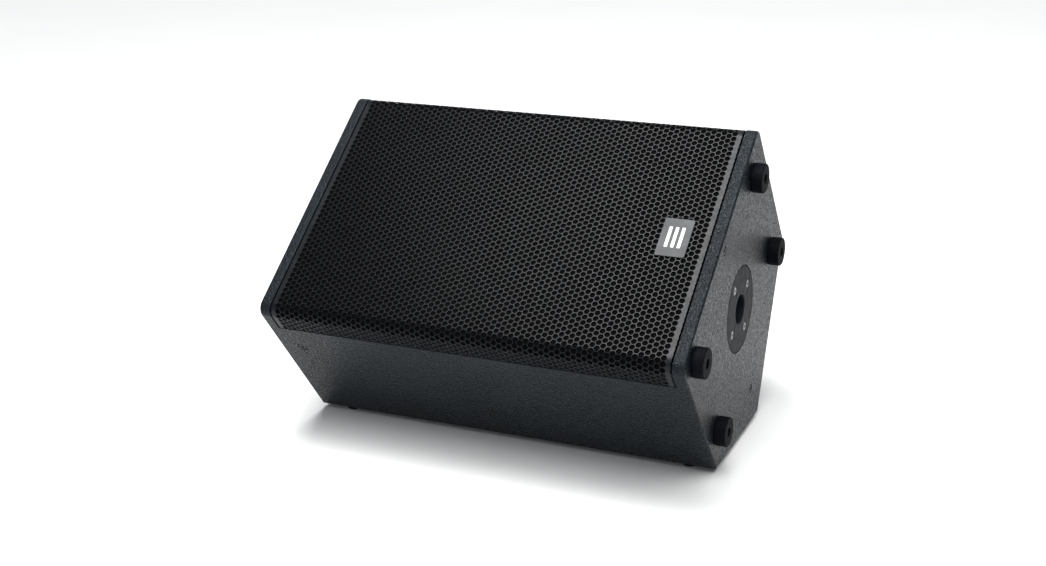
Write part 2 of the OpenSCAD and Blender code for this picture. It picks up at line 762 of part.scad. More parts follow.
module woofer_gasket() color("#17171a") lay_down() at_woofer() rotate_extrude()
  polygon([[lip_out_r - 4, flange_z + roll_t + 2], [lip_out_r - 4, flange_z + roll_t],
    [lip_out_r, flange_z + roll_t], [lip_out_r, flange_z],
    [woofer_screw_pcd_r - woofer_head_r - 0.2, flange_z],
    [woofer_screw_pcd_r - woofer_head_r - 0.2, flange_z + roll_t + 2]]);

// Half-roll surround, from its glued lip on the basket to its lip over the cone's edge
function roll_arc(r, steps) = [
  for (i = [0:steps])
    [(roll_out_r + roll_in_r) / 2 + r * cos(180 * i / steps), flange_z + r * sin(180 * i / steps)]
];

module woofer_surround() color("#1c1c1c") lay_down() at_woofer() rotate_extrude() {
  r = (roll_out_r - roll_in_r) / 2;
  polygon(concat(
    [[lip_out_r, flange_z], [lip_out_r, flange_z + roll_t]], roll_arc(r + roll_t / 2, roll_steps),
    [[lip_in_r, flange_z + roll_t], [lip_in_r, flange_z]], reversed(roll_arc(r - roll_t / 2, roll_steps))
  ));
}

// The cone's depth at radius r: steeper towards the neck
function cone_z(r) =
  cone_neck_z + (cone_edge_z - cone_neck_z) * (1 - pow((lip_in_r - r) / (lip_in_r - neck_r), cone_curve));
function cone_line(drop) = [
  for (i = [0:cone_steps]) let (r = neck_r + (lip_in_r - neck_r) * i / cone_steps) [r, cone_z(r) - drop]
];

module woofer_cone() color("#1f1f21") lay_down() at_woofer() rotate_extrude()
  polygon(concat(
    cone_line(0.1),
    [[roll_in_r - 1, cone_edge_z - 0.1], [roll_in_r - 1, cone_edge_z - 0.1 - cone_t]],
    reversed(cone_line(0.1 + cone_t))
  ));

module woofer_dust_cap() color("#18181a") lay_down() at_woofer() rotate_extrude() {
  base = cone_z(cap_r);
  polygon(concat(
    [for (i = [0:8]) [cap_r * sin(90 - 11.25 * i), base + cap_rise * cos(90 - 11.25 * i)]],
    [for (i = [8:-1:0]) [(cap_r - 1) * sin(90 - 11.25 * i), base + (cap_rise - 1) * cos(90 - 11.25 * i)]]
  ));
}

module coil_former() color("#c79a55") lay_down() at_woofer() translate([0, 0, former_foot_z])
  ring(neck_r, coil_r, cone_neck_z - former_foot_z + 2);

module coil_winding() color("#a8622d") lay_down() at_woofer() translate([0, 0, winding_z - winding_l])
  ring(neck_r + winding_t, neck_r, winding_l);

// Corrugated spider between the former and the basket's ledge
function wave(i) = [
  spider_in_r + (spider_out_r - spider_in_r) * i / (spider_waves * spider_steps),
  spider_z + spider_wave * sin(360 * i / spider_steps)
];
module woofer_spider() color("#c8a24a") lay_down() at_woofer() rotate_extrude() {
  n = spider_waves * spider_steps;
  lift = [0, spider_t];
  polygon(concat([for (i = [0:n]) wave(i) + lift], [for (i = [n:-1:0]) wave(i)]));
}

module woofer_top_plate() color("#4a4b4e") lay_down() difference() {
  at_woofer() translate([0, 0, magnet_z]) ring(top_plate_r, neck_r + winding_t + run_gap, top_plate_t);
  each_basket_bolt() screw_hole(basket_bolt_r, 14);
}

module woofer_magnet() color("#2a2a2c") lay_down() at_woofer() translate([0, 0, back_plate_z])
  ring(magnet_r, magnet_in_r, magnet_t);

module woofer_back_plate() color("#4a4b4e") lay_down() at_woofer() difference() {
  union() {
    translate([0, 0, back_plate_z - back_plate_t]) cylinder(r = back_plate_r, h = back_plate_t);
    translate([0, 0, back_plate_z - 1]) cylinder(r = pole_piece_r, h = yoke_z - back_plate_z + 1);
  }
  translate([0, 0, back_plate_z - back_plate_t - 1]) cylinder(r = pole_vent_r, h = 60);
}

module basket_bolts() color("#8c8e92") lay_down() each_basket_bolt() cap_screw(basket_bolt_r, 4.2, 4, 14);
module woofer_screws() color("#303134") lay_down()
  each_woofer_screw() cap_screw(woofer_screw_r, woofer_head_r, 3, 18);

// The horn's profile, a flare that opens from the round throat to the mouth in the flange
function flare(grow) = [
  for (i = [0:horn_rings]) let (t = i / horn_rings)
    [horn_throat_r + (horn_mouth_r - horn_throat_r) * pow(t, horn_curve) + grow,
      throat_z + (horn_l + horn_flange_t) * t]
];
// Faces of a closed tube of rings, each of the given number of sides
function skin(rings, sides) = concat(
  [for (i = [0:rings - 1], k = [0:sides - 1])
    let (a = i * sides + k, b = i * sides + (k + 1) % sides) [a, b, b + sides, a + sides]],
  [[for (k = [sides - 1:-1:0]) k], [for (k = [0:sides - 1]) rings * sides + k]]
);
module horn() color("#1a1a1b") lay_down() difference() {
  at_horn() {
    difference() {
      translate([-horn_w / 2, -horn_w / 2, baffle_z]) cube([horn_w, horn_w, horn_flange_t]);
      translate([0, 0, baffle_z - 1]) cylinder(r = horn_mouth_r, h = horn_flange_t + 2);
    }
    rotate_extrude() polygon(concat(flare(0), reversed(flare(horn_wall))));
    translate([0, 0, throat_z]) ring(horn_foot_r, horn_throat_r + horn_wall / 2, horn_foot_t);
  }
  each_horn_screw() screw_hole(horn_screw_r, 20);
  each_hf_bolt() screw_hole(hf_bolt_r, 20);
}

module horn_screws() color("#303134") lay_down()
  each_horn_screw() cap_screw(horn_screw_r, horn_head_r, 2.6, 18);

module port_tube(side) at_port(side) difference() {
  union() {
    cylinder(r = port_lip_r, h = port_lip_t);
    translate([0, 0, -port_l]) cylinder(r = port_in_r + port_wall, h = port_l + 1);
  }
  translate([0, 0, -port_l - 1]) cylinder(r = port_in_r, h = port_l + port_lip_t + 2);
}
module port_tube_near() color("#1a1a1b") lay_down() port_tube(-1);
module port_tube_far() color("#1a1a1b") lay_down() port_tube(1);

// Compression driver: front plate with its throat and pole, magnet ring, back plate and cover
module hf_front_plate() color("#4a4b4e") lay_down() difference() {
  at_horn() difference() {
    union() {
      translate([0, 0, hf_magnet_z]) cylinder(r = hf_plate_r, h = hf_front_t);
      translate([0, 0, hf_cover_z]) cylinder(r = hf_gap_in, h = hf_magnet_z - hf_cover_z + 1);
    }
    translate([0, 0, hf_cover_z - 1])
      cylinder(r1 = 9, r2 = horn_throat_r, h = hf_front_z - hf_cover_z + 1.02);
  }
  each_hf_bolt() screw_hole(hf_bolt_r, 16);
}

module hf_magnet() color("#2a2a2c") lay_down() at_horn() translate([0, 0, hf_back_z])
  ring(hf_magnet_r, hf_magnet_in, hf_magnet_t);

module hf_back_plate() color("#4a4b4e") lay_down() at_horn() translate([0, 0, hf_cover_z])
  ring(hf_plate_r + 4, hf_gap_out, hf_back_t);

module hf_diaphragm() color("#b9bcc2") lay_down() at_horn() rotate_extrude() {
  skirt_r = (hf_gap_in + hf_gap_out) / 2;
  polygon(concat(
    [[skirt_r - dome_t / 2, dome_z + 9], [skirt_r + dome_t / 2, dome_z + 9], [skirt_r + dome_t / 2, dome_z],
      [dome_lip_r, dome_z], [dome_lip_r, dome_z - dome_t]],
    [for (i = [0:8]) [skirt_r * cos(11.25 * i), dome_z - dome_t - dome_rise * sin(11.25 * i)]],
    [for (i = [8:-1:0])
      [(skirt_r - dome_t / 2) * cos(11.25 * i), dome_z - (dome_rise - dome_t) * sin(11.25 * i)]]
  ));
}

module hf_cover() color("#1d1d1f") lay_down() at_horn() difference() {
  translate([0, 0, hf_cover_z - hf_cover_depth]) cylinder(r = hf_cover_r, h = hf_cover_depth);
  translate([0, 0, hf_cover_z - hf_cover_depth + hf_cover_t])
    cylinder(r = hf_cover_r - 4, h = hf_cover_depth);
}

module hf_screws() color("#8c8e92") lay_down() each_hf_bolt() cap_screw(hf_bolt_r, 4.6, 5, 15);

module crossover_board() color("#2f6b3a") lay_down() difference() {
  on_monitor(board_x, board_s, board_z)
    translate([-board_size[0] / 2, -board_size[1] / 2, 0]) cube(board_size);
  each_board_corner() screw_hole(board_screw_r, 2, board_stand + 10);
}

// Air-cored coils standing on the board: a bobbin of wire with an open middle
module crossover_coils() color("#b0682c") lay_down() on_board()
  for (i = [0:len(coil_spots) - 1]) translate(coil_spots[i])
    ring(coil_size[i][0], coil_size[i][0] * 0.45, coil_size[i][1]);

module crossover_capacitors() color("#c9b23c") lay_down() on_board()
  for (c = cap_spots) translate([c[0], c[1], 8]) rotate([90, 0, 90]) cylinder(r = 8, h = c[2], center = true);

module crossover_resistors() color("#d8d4c8") lay_down() on_board()
  for (x = resistor_spots) translate([x, -30, 0]) cube([8, 32, 8]);

module crossover_mounts() color("#8c8e92") lay_down() each_board_corner() {
  ring(4, board_screw_r + screw_gap, board_stand);
  translate([0, 0, board_stand + board_size[2]])
    cap_screw(board_screw_r, 3, 2, board_stand + board_size[2] + 9);
}

// A round wire swept along a smooth curve through the route's points
module lead(route) {
  path = smooth(route);
  lean_to = unit([0.35, 0.62, 0.7]);
  points = [
    for (i = [0:len(path) - 1])
      let (d = flow(path, i), a = unit(cross(d, lean_to)), b = cross(d, a))
      for (k = [0:lead_sides - 1])
        path[i] + lead_r * (a * cos(360 * k / lead_sides) + b * sin(360 * k / lead_sides))
  ];
  polyhedron(points = points, faces = [for (f = skin(len(path) - 1, lead_sides)) reversed(f)]);
}

module crossover_leads() color("#6b1d1d") lay_down() {
  lead(input_route);
  lead(woofer_route);
  lead(driver_route);
}

// Two pads of wool, on the near side and on the left end
module damping_wool() color("#c9c4b6") lay_down() {
  gap = 0.2;
  translate([-50, panel_t + gap, -210]) cube([300, wool_t, 120]);
  translate([-inner_half + gap, 90, -245]) cube([wool_t, 160, 120]);
}

left_end_panel();
right_end_panel();
near_side_panel();
far_side_panel();
monitor_panel();
rear_panel();
baffle();
baffle_battens();
window_brace();
grille();
grille_foam();
grille_studs();
grille_catches();
badge();
pole_flange();
pole_flange_screws();
end_feet();
end_feet_screws();
floor_feet();
floor_feet_screws();
rigging_inserts();
rigging_screws();
handle_cup();
handle_bar();
handle_screws();
connector_dish();
dish_screws();
input_socket();
link_socket();
socket_screws();
woofer_basket();
woofer_gasket();
woofer_surround();
woofer_cone();
woofer_dust_cap();
coil_former();
coil_winding();
woofer_spider();
woofer_top_plate();
woofer_magnet();
woofer_back_plate();
basket_bolts();
woofer_screws();
horn();
horn_screws();
port_tube_near();
port_tube_far();
hf_front_plate();
hf_magnet();
hf_back_plate();
hf_diaphragm();
hf_cover();
hf_screws();
crossover_board();
crossover_coils();
crossover_capacitors();
crossover_resistors();
crossover_mounts();
crossover_leads();
damping_wool();
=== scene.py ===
import json
import math

import bmesh
import bpy
from mathutils import Matrix, Vector


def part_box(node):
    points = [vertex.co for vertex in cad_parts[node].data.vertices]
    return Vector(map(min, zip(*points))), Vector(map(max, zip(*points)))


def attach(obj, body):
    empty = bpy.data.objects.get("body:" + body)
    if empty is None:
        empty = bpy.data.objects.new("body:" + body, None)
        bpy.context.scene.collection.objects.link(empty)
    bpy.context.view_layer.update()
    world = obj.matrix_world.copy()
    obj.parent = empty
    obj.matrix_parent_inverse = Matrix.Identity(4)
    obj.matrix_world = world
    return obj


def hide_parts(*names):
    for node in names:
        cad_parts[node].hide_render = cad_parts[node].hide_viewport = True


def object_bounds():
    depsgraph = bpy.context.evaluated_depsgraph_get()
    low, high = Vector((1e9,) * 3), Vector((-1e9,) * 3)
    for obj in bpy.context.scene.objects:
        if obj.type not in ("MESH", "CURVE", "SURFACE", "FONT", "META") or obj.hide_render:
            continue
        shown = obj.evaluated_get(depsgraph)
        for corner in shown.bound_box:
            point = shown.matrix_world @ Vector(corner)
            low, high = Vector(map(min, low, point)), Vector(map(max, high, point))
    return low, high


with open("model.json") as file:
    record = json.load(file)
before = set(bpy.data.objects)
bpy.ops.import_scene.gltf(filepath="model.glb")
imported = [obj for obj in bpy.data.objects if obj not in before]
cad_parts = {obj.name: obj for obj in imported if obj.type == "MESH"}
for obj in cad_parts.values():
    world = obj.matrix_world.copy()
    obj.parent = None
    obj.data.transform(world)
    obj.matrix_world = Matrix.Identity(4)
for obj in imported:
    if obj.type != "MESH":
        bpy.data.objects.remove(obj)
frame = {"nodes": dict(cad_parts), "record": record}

cad_lo, cad_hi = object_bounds()
MM = 0.001
QUARTER = math.pi / 2

# ---------------------------------------------------------------------------------------------
# The cabinet's own frame: X along it, Y across the front from the near side, Z out of the front,
# in millimetres. The model lies on its monitor face, so this frame is tipped back.
# ---------------------------------------------------------------------------------------------

mounts = {m["name"]: m for m in frame["record"]["mounts"]}
stroke = next(j for j in frame["record"]["behaviour"]["joints"] if j["name"] == "cone_stroke")
tilt = math.atan2(-stroke["axis"][1], stroke["axis"][2])

end_lo, end_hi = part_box("right_end_panel")
left_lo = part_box("left_end_panel")[0]
MIDDLE_X = (end_hi.x + left_lo.x) / 2
HALF_LEN = (end_hi.x - left_lo.x) / 2 / MM
PANEL_T = (end_hi.x - end_lo.x) / MM
INNER_HALF = HALF_LEN - PANEL_T

FRONT_W = 357
SIDE_D = 230
RIDGE_Y = 148
RIDGE_D = 340
POLE_Y, POLE_Z = 177, -137

turn = Matrix.Rotation(tilt, 4, "X")
pole = Vector(mounts["pole_socket"]["pos_m"])
pole_arm = turn @ Vector((0, POLE_Y * MM, POLE_Z * MM))
CABINET = (
    Matrix.Translation((MIDDLE_X, pole.y - pole_arm.y, pole.z - pole_arm.z)) @ turn @ Matrix.Scale(MM, 4)
)

# Corners of the cross-section, from the near front edge round by the far side, with their rounding
SECTION = [(0, 0), (FRONT_W, 0), (FRONT_W, -SIDE_D), (RIDGE_Y, -RIDGE_D), (0, -SIDE_D)]
FRONT_R = 14
EDGE_R = 3
SECTION_R = [FRONT_R, FRONT_R, EDGE_R, EDGE_R, EDGE_R]

# The long sides step back by REBATE for the grille's flanges, down to REBATE_END, and their panels
# begin at SIDE_TOP
REBATE = 2
WRAP = 38
REBATE_END = -WRAP - 1.2
REBATE_SLOPE = 0.6
SIDE_TOP = -16


def unit(x, y):
    n = math.hypot(x, y)
    return x / n, y / n


def fillet(a, p, b, r):
    """The arc of radius r in the corner at p between a and b: its centre, start angle and sweep."""
    u = unit(a[0] - p[0], a[1] - p[1])
    v = unit(b[0] - p[0], b[1] - p[1])
    half = math.acos(max(-1, min(1, u[0] * v[0] + u[1] * v[1]))) / 2
    w = unit(u[0] + v[0], u[1] + v[1])
    c = (p[0] + w[0] * r / math.sin(half), p[1] + w[1] * r / math.sin(half))
    reach = r / math.tan(half)
    start = math.atan2(p[1] + u[1] * reach - c[1], p[0] + u[0] * reach - c[0])
    stop = math.atan2(p[1] + v[1] * reach - c[1], p[0] + v[0] * reach - c[0])
    return c, start, (stop - start + math.pi) % (2 * math.pi) - math.pi


def arc_points(centre, r, start, sweep, steps):
    """Points along an arc, both ends included."""
    turns = (start + sweep * k / steps for k in range(steps + 1))
    return [(centre[0] + r * math.cos(a), centre[1] + r * math.sin(a)) for a in turns]


def corner(i, r):
    """The arc of radius r in corner i of the section."""
    return fillet(*(SECTION[(i + k) % 5] for k in (-1, 0, 1)), r)


def outline(front, back, steps=14):
    """The rounded cross-section moved inward, its arcs keeping their centres: by front along the
    grille's flanges and the front, and by back along the rest."""
    points = []
    for i in range(5):
        c, start, sweep = corner(i, SECTION_R[i])
        r = max(SECTION_R[i] - (front if i < 2 else back), 0.05)
        arc = arc_points(c, r, start, sweep, steps)
        if i == 0:
            arc = [(back, REBATE_END - REBATE_SLOPE), (front, REBATE_END)] + arc
        if i == 1:
            arc += [(FRONT_W - front, REBATE_END), (FRONT_W - back, REBATE_END - REBATE_SLOPE)]
        points += arc
    return points


def inner_corner(i, t):
    """Corner i of the section moved inward by t from both of its sides."""
    return corner(i, t)[0]


# Frames on the cabinet's faces, in millimetres, with Z pointing out of the cabinet
def on_end(y, z, side=1):
    return Matrix.Translation((side * HALF_LEN, y, z)) @ Matrix.Rotation(side * QUARTER, 4, "Y")


def on_near(x, z):
    return Matrix.Translation((x, 0, z)) @ Matrix.Rotation(QUARTER, 4, "X")


def on_far(x, z):
    return Matrix.Translation((x, FRONT_W, z)) @ Matrix.Rotation(-QUARTER, 4, "X")


MONITOR_TILT = math.atan2(RIDGE_D - SIDE_D, RIDGE_Y)
REAR_TILT = math.atan2(RIDGE_D - SIDE_D, FRONT_W - RIDGE_Y)
MONITOR_W = math.hypot(RIDGE_Y, RIDGE_D - SIDE_D)
REAR_W = math.hypot(FRONT_W - RIDGE_Y, RIDGE_D - SIDE_D)


def on_monitor(x, s):
    """s runs across the face from the near edge to the ridge."""
    base = Matrix.Translation((x, 0, -SIDE_D)) @ Matrix.Rotation(-MONITOR_TILT, 4, "X")
    return base @ Matrix.Translation((0, s, 0)) @ Matrix.Rotation(math.pi, 4, "X")


def on_rear(x, s):
    """s runs across the face from the ridge to the far edge."""
    base = Matrix.Translation((x, RIDGE_Y, -RIDGE_D)) @ Matrix.Rotation(REAR_TILT, 4, "X")
    return base @ Matrix.Translation((0, s, 0)) @ Matrix.Rotation(math.pi, 4, "X")


# ---------------------------------------------------------------------------------------------
# Mesh helpers
# ---------------------------------------------------------------------------------------------

SHARP_ANGLE = 35
FLATTEST = 100


def shade(ob):
    """Smooth shading with sharp edges past an angle, and normals that keep large faces flat."""
    mesh = ob.data
    mesh.polygons.foreach_set("use_smooth", [True] * len(mesh.polygons))
    mesh.set_sharp_from_angle(angle=math.radians(SHARP_ANGLE))
    m = ob.modifiers.new("normals", "WEIGHTED_NORMAL")
    m.keep_sharp = True
    m.weight = FLATTEST
    bake(ob)


def bake(ob):
    """Applies the object's modifiers."""
    graph = bpy.context.evaluated_depsgraph_get()
    mesh = bpy.data.meshes.new_from_object(ob.evaluated_get(graph))
    ob.modifiers.clear()
    ob.data = mesh


def finish_mesh(bm, name, place=None):
    """Turns a bmesh in cabinet millimetres into an object in the model's frame, in metres."""
    if place is not None:
        bmesh.ops.transform(bm, matrix=place, verts=bm.verts)
    bmesh.ops.transform(bm, matrix=CABINET, verts=bm.verts)
    bmesh.ops.recalc_face_normals(bm, faces=bm.faces)
    mesh = bpy.data.meshes.new(name)
    bm.to_mesh(mesh)
    bm.free()
    ob = bpy.data.objects.new(name, mesh)
    bpy.context.scene.collection.objects.link(ob)
    shade(ob)
    return ob


def loft(bm, rings, at=None):
    """Skins a list of rings of equal length, capping the first and the last."""
    rows = [[bm.verts.new(p) for p in ring] for ring in rings]
    n = len(rows[0])
    for a, b in zip(rows, rows[1:]):
        for i in range(n):
            j = (i + 1) % n
            bm.faces.new((a[i], a[j], b[j], b[i]))
    bm.faces.new(list(reversed(rows[0])))
    bm.faces.new(rows[-1])
    if at is not None:
        bmesh.ops.transform(bm, matrix=at, verts=sum(rows, []))


def lathe(bm, profile, sides, at):
    """Turns a closed profile of (radius, height) points round Z. Points with radius 0 close the axis."""
    angles = [2 * math.pi * k / sides for k in range(sides)]
    made = []
    rows = []
    for r, z in profile:
        row = [bm.verts.new((r * math.cos(a), r * math.sin(a), z)) for a in (angles if r else [0])]
        rows.append(row if r else row * sides)
        made += row
    for a, b in zip(rows, rows[1:] + rows[:1]):
        for i in range(sides):
            j = (i + 1) % sides
            corners = []
            for v in (a[i], a[j], b[j], b[i]):
                if v not in corners:
                    corners.append(v)
            if len(corners) > 2:
                bm.faces.new(corners)
    bmesh.ops.transform(bm, matrix=at, verts=made)


def rounded_profile(points, radii, steps=4):
    """A closed profile with its corners rounded; radii holds one value per corner."""
    out = []
    n = len(points)
    for i, (p, r) in enumerate(zip(points, radii)):
        if r == 0:
            out.append(p)
            continue
        c, start, sweep = fillet(points[i - 1], p, points[(i + 1) % n], r)
        out += arc_points(c, r, start, sweep, steps)
    return out


def rounded_rect(w, h, r, steps=6):
    """Points of a rectangle with round corners, centred on the origin."""
    out = []
    for turns, (cx, cy) in enumerate(((1, 1), (-1, 1), (-1, -1), (1, -1))):
        out += arc_points((cx * (w / 2 - r), cy * (h / 2 - r)), r, turns * QUARTER, QUARTER, steps)
    return out


def rect_rings(levels, steps=6):
    """Rings of rounded rectangles: each level is (width, height, corner radius, height along Z)."""
    return [[(x, y, z) for x, y in rounded_rect(w, h, r, steps)] for w, h, r, z in levels]


def cut(ob, cutters):
    """Takes the cutters' shapes out of ob, and removes the cutters."""
    for c in cutters:
        m = ob.modifiers.new("cut", "BOOLEAN")
        m.operation, m.solver, m.object = "DIFFERENCE", "EXACT", c
    bake(ob)
    shade(ob)
    for c in cutters:
        bpy.data.objects.remove(c)


def lathed(name, places, profile, sides=64):
    """One object with a turned shape at each place."""
    bm = bmesh.new()
    for at in places:
        lathe(bm, profile, sides, at)
    return finish_mesh(bm, name)


def cutter(places, profile, sides=48):
    """The same, for cut()."""
    return lathed("cutter", places, profile, sides)


# ---------------------------------------------------------------------------------------------
# Materials
# ---------------------------------------------------------------------------------------------

class Nodes:
    """A short way to write a material's node tree."""

    SOCKETS = {"colour": "Base Color", "rough": "Roughness", "metal": "Metallic", "normal": "Normal",
               "specular": "Specular IOR Level", "sheen": "Sheen Weight"}

    def __init__(self, name):
        self.mat = bpy.data.materials.new(name)
        self.mat.use_nodes = True
        self.tree = self.mat.node_tree
        self.bsdf = self.tree.nodes["Principled BSDF"]
        self.where = self.tree.nodes.new("ShaderNodeTexCoord").outputs["Object"]

    def node(self, kind, **values):
        """A new node: each value is a setting of the node, or one of its inputs."""
        n = self.tree.nodes.new("ShaderNode" + kind)
        for key, value in values.items():
            if hasattr(n, key):
                setattr(n, key, value)
            else:
                self.feed(n.inputs[key], value)
        return n

    def feed(self, socket, value):
        """Links a socket to another node's output, or sets its number or colour."""
        if isinstance(value, bpy.types.NodeSocket):
            self.tree.links.new(value, socket)
        elif socket.type == "RGBA":
            socket.default_value = (*value, 1)
        else:
            socket.default_value = value

    def noise(self, scale, detail=2.0, rough=0.5, where=None):
        n = self.node("TexNoise", Scale=scale, Detail=detail, Roughness=rough, Vector=where or self.where)
        return n.outputs["Fac"]

    def voronoi(self, scale, feature="F1"):
        n = self.node("TexVoronoi", feature=feature, Scale=scale, Vector=self.where)
        return n.outputs["Distance"]

    def wave(self, scale, direction, distortion):
        n = self.node("TexWave", bands_direction=direction, Scale=scale, Distortion=distortion,
                      Vector=self.where)
        return n.outputs["Fac"]

    def ramp(self, value, low, high, out_low=0.0, out_high=1.0):
        n = self.node("MapRange", Value=value)
        for key, v in (("From Min", low), ("From Max", high), ("To Min", out_low), ("To Max", out_high)):
            n.inputs[key].default_value = v
        return n.outputs["Result"]

    def mix(self, factor, a, b):
        n = self.node("Mix", data_type="RGBA")
        colour_a, colour_b = (x for x in n.inputs if x.type == "RGBA")
        for socket, value in ((n.inputs[0], factor), (colour_a, a), (colour_b, b)):
            self.feed(socket, value)
        return next(x for x in n.outputs if x.type == "RGBA")

    def math(self, operation, a, b):
        n = self.node("Math", operation=operation)
        self.feed(n.inputs[0], a)
        self.feed(n.inputs[1], b)
        return n.outputs[0]

    def bump(self, height, distance):
        return self.node("Bump", Height=height, Distance=distance).outputs["Normal"]

    def set(self, **values):
        for key, value in values.items():
            self.feed(self.bsdf.inputs[self.SOCKETS[key]], value)
        return self.mat


def textured_paint(name, dark, light, grain, depth, rough):
    """Sprayed textured cabinet paint: rounded droplets with brighter flecks, grain per metre."""
    n = Nodes(name)
    drops = n.math("MULTIPLY", n.ramp(n.voronoi(grain, "SMOOTH_F1"), 0.1, 0.7, 1, 0), 0.5)
    coarse = n.ramp(n.noise(grain * 0.55), 0.3, 0.7)
    fine = n.math("MULTIPLY", n.noise(grain * 2.2), 0.25)
    height = n.math("ADD", drops, n.math("ADD", coarse, fine))
    fleck = n.ramp(n.noise(grain * 0.8), 0.40, 0.62)
    cloud = n.ramp(n.noise(9, 3), 0.35, 0.65)
    tone = n.math("ADD", n.math("MULTIPLY", fleck, 0.8), n.math("MULTIPLY", cloud, 0.2))
    return n.set(
        colour=n.mix(tone, dark, light),
        rough=n.ramp(fleck, 0, 1, rough + 0.14, rough - 0.14),
        normal=n.bump(height, depth),
        metal=n.ramp(fleck, 0, 1, 0.0, 0.22),
        specular=0.125,
    )


def smooth_metal(name, dark, light, rough, metal=0.0, depth=0.00002, grain=900, specular=0.5):
    """Satin metal, or powder coat where metal is 0, with a faint uneven polish."""
    n = Nodes(name)
    return n.set(
        colour=n.mix(n.ramp(n.noise(45, 4), 0.3, 0.7), dark, light),
        metal=metal,
        rough=n.ramp(n.noise(120, 4), 0.3, 0.7, rough - 0.05, rough + 0.06),
        normal=n.bump(n.noise(grain, 3), depth),
        specular=specular,
    )


def moulded(name, dark, light, rough, grain=2600, depth=0.00003):
    """Moulded plastic with a spark-eroded grain."""
    n = Nodes(name)
    return n.set(
        colour=n.mix(n.ramp(n.noise(60, 3), 0.3, 0.7), dark, light),
        rough=n.ramp(n.noise(200, 3), 0.3, 0.7, rough - 0.05, rough + 0.07),
        normal=n.bump(n.voronoi(grain), depth),
    )


def matt_rubber(name, dark, light):
    """Rubber with faint bloom and a fine grain."""
    n = Nodes(name)
    return n.set(
        colour=n.mix(n.ramp(n.noise(160, 5), 0.35, 0.7), dark, light),
        rough=n.ramp(n.noise(300, 3), 0.3, 0.7, 0.62, 0.82),
        normal=n.bump(n.noise(1800, 3), 0.00004),
        specular=0.07,
    )


def open_foam(name, dark, light):
    """Open-celled acoustic foam."""
    n = Nodes(name)
    cells = n.voronoi(1100)
    return n.set(
        colour=n.mix(n.ramp(cells, 0.1, 0.6), dark, light),
        rough=0.95,
        specular=0.02,
        normal=n.bump(n.ramp(cells, 0, 0.7, 1, 0), 0.0005),
    )


def plywood(name, dark, light):
    """Birch plywood: long grain along X."""
    n = Nodes(name)
    along_x = n.node("Mapping", Vector=n.where, Scale=(1, 22, 22)).outputs["Vector"]
    grain = n.noise(14, 6, 0.6, along_x)
    return n.set(
        colour=n.mix(n.ramp(grain, 0.35, 0.65), dark, light),
        rough=0.6,
        normal=n.bump(grain, 0.0001),
    )


def cloth(name, dark, light, pitch=0.0006):
    """Woven or felted cloth, its threads pitch metres apart: two crossed waves."""
    n = Nodes(name)
    threads = [n.wave(0.31 / pitch, direction, 0.4) for direction in ("X", "Y")]
    weave = n.math("MULTIPLY", *threads)
    return n.set(
        colour=n.mix(weave, dark, light),
        rough=0.85,
        sheen=0.2,
        normal=n.bump(weave, 0.0002),
    )


def wire_turns(name, dark, light):
    """Enamelled wire laid in even turns, one above the other."""
    n = Nodes(name)
    turns = n.wave(420, "Z", 0.2)
    return n.set(
        colour=n.mix(turns, dark, light),
        metal=0.7,
        rough=n.ramp(turns, 0, 1, 0.45, 0.25),
        normal=n.bump(turns, 0.0002),
    )


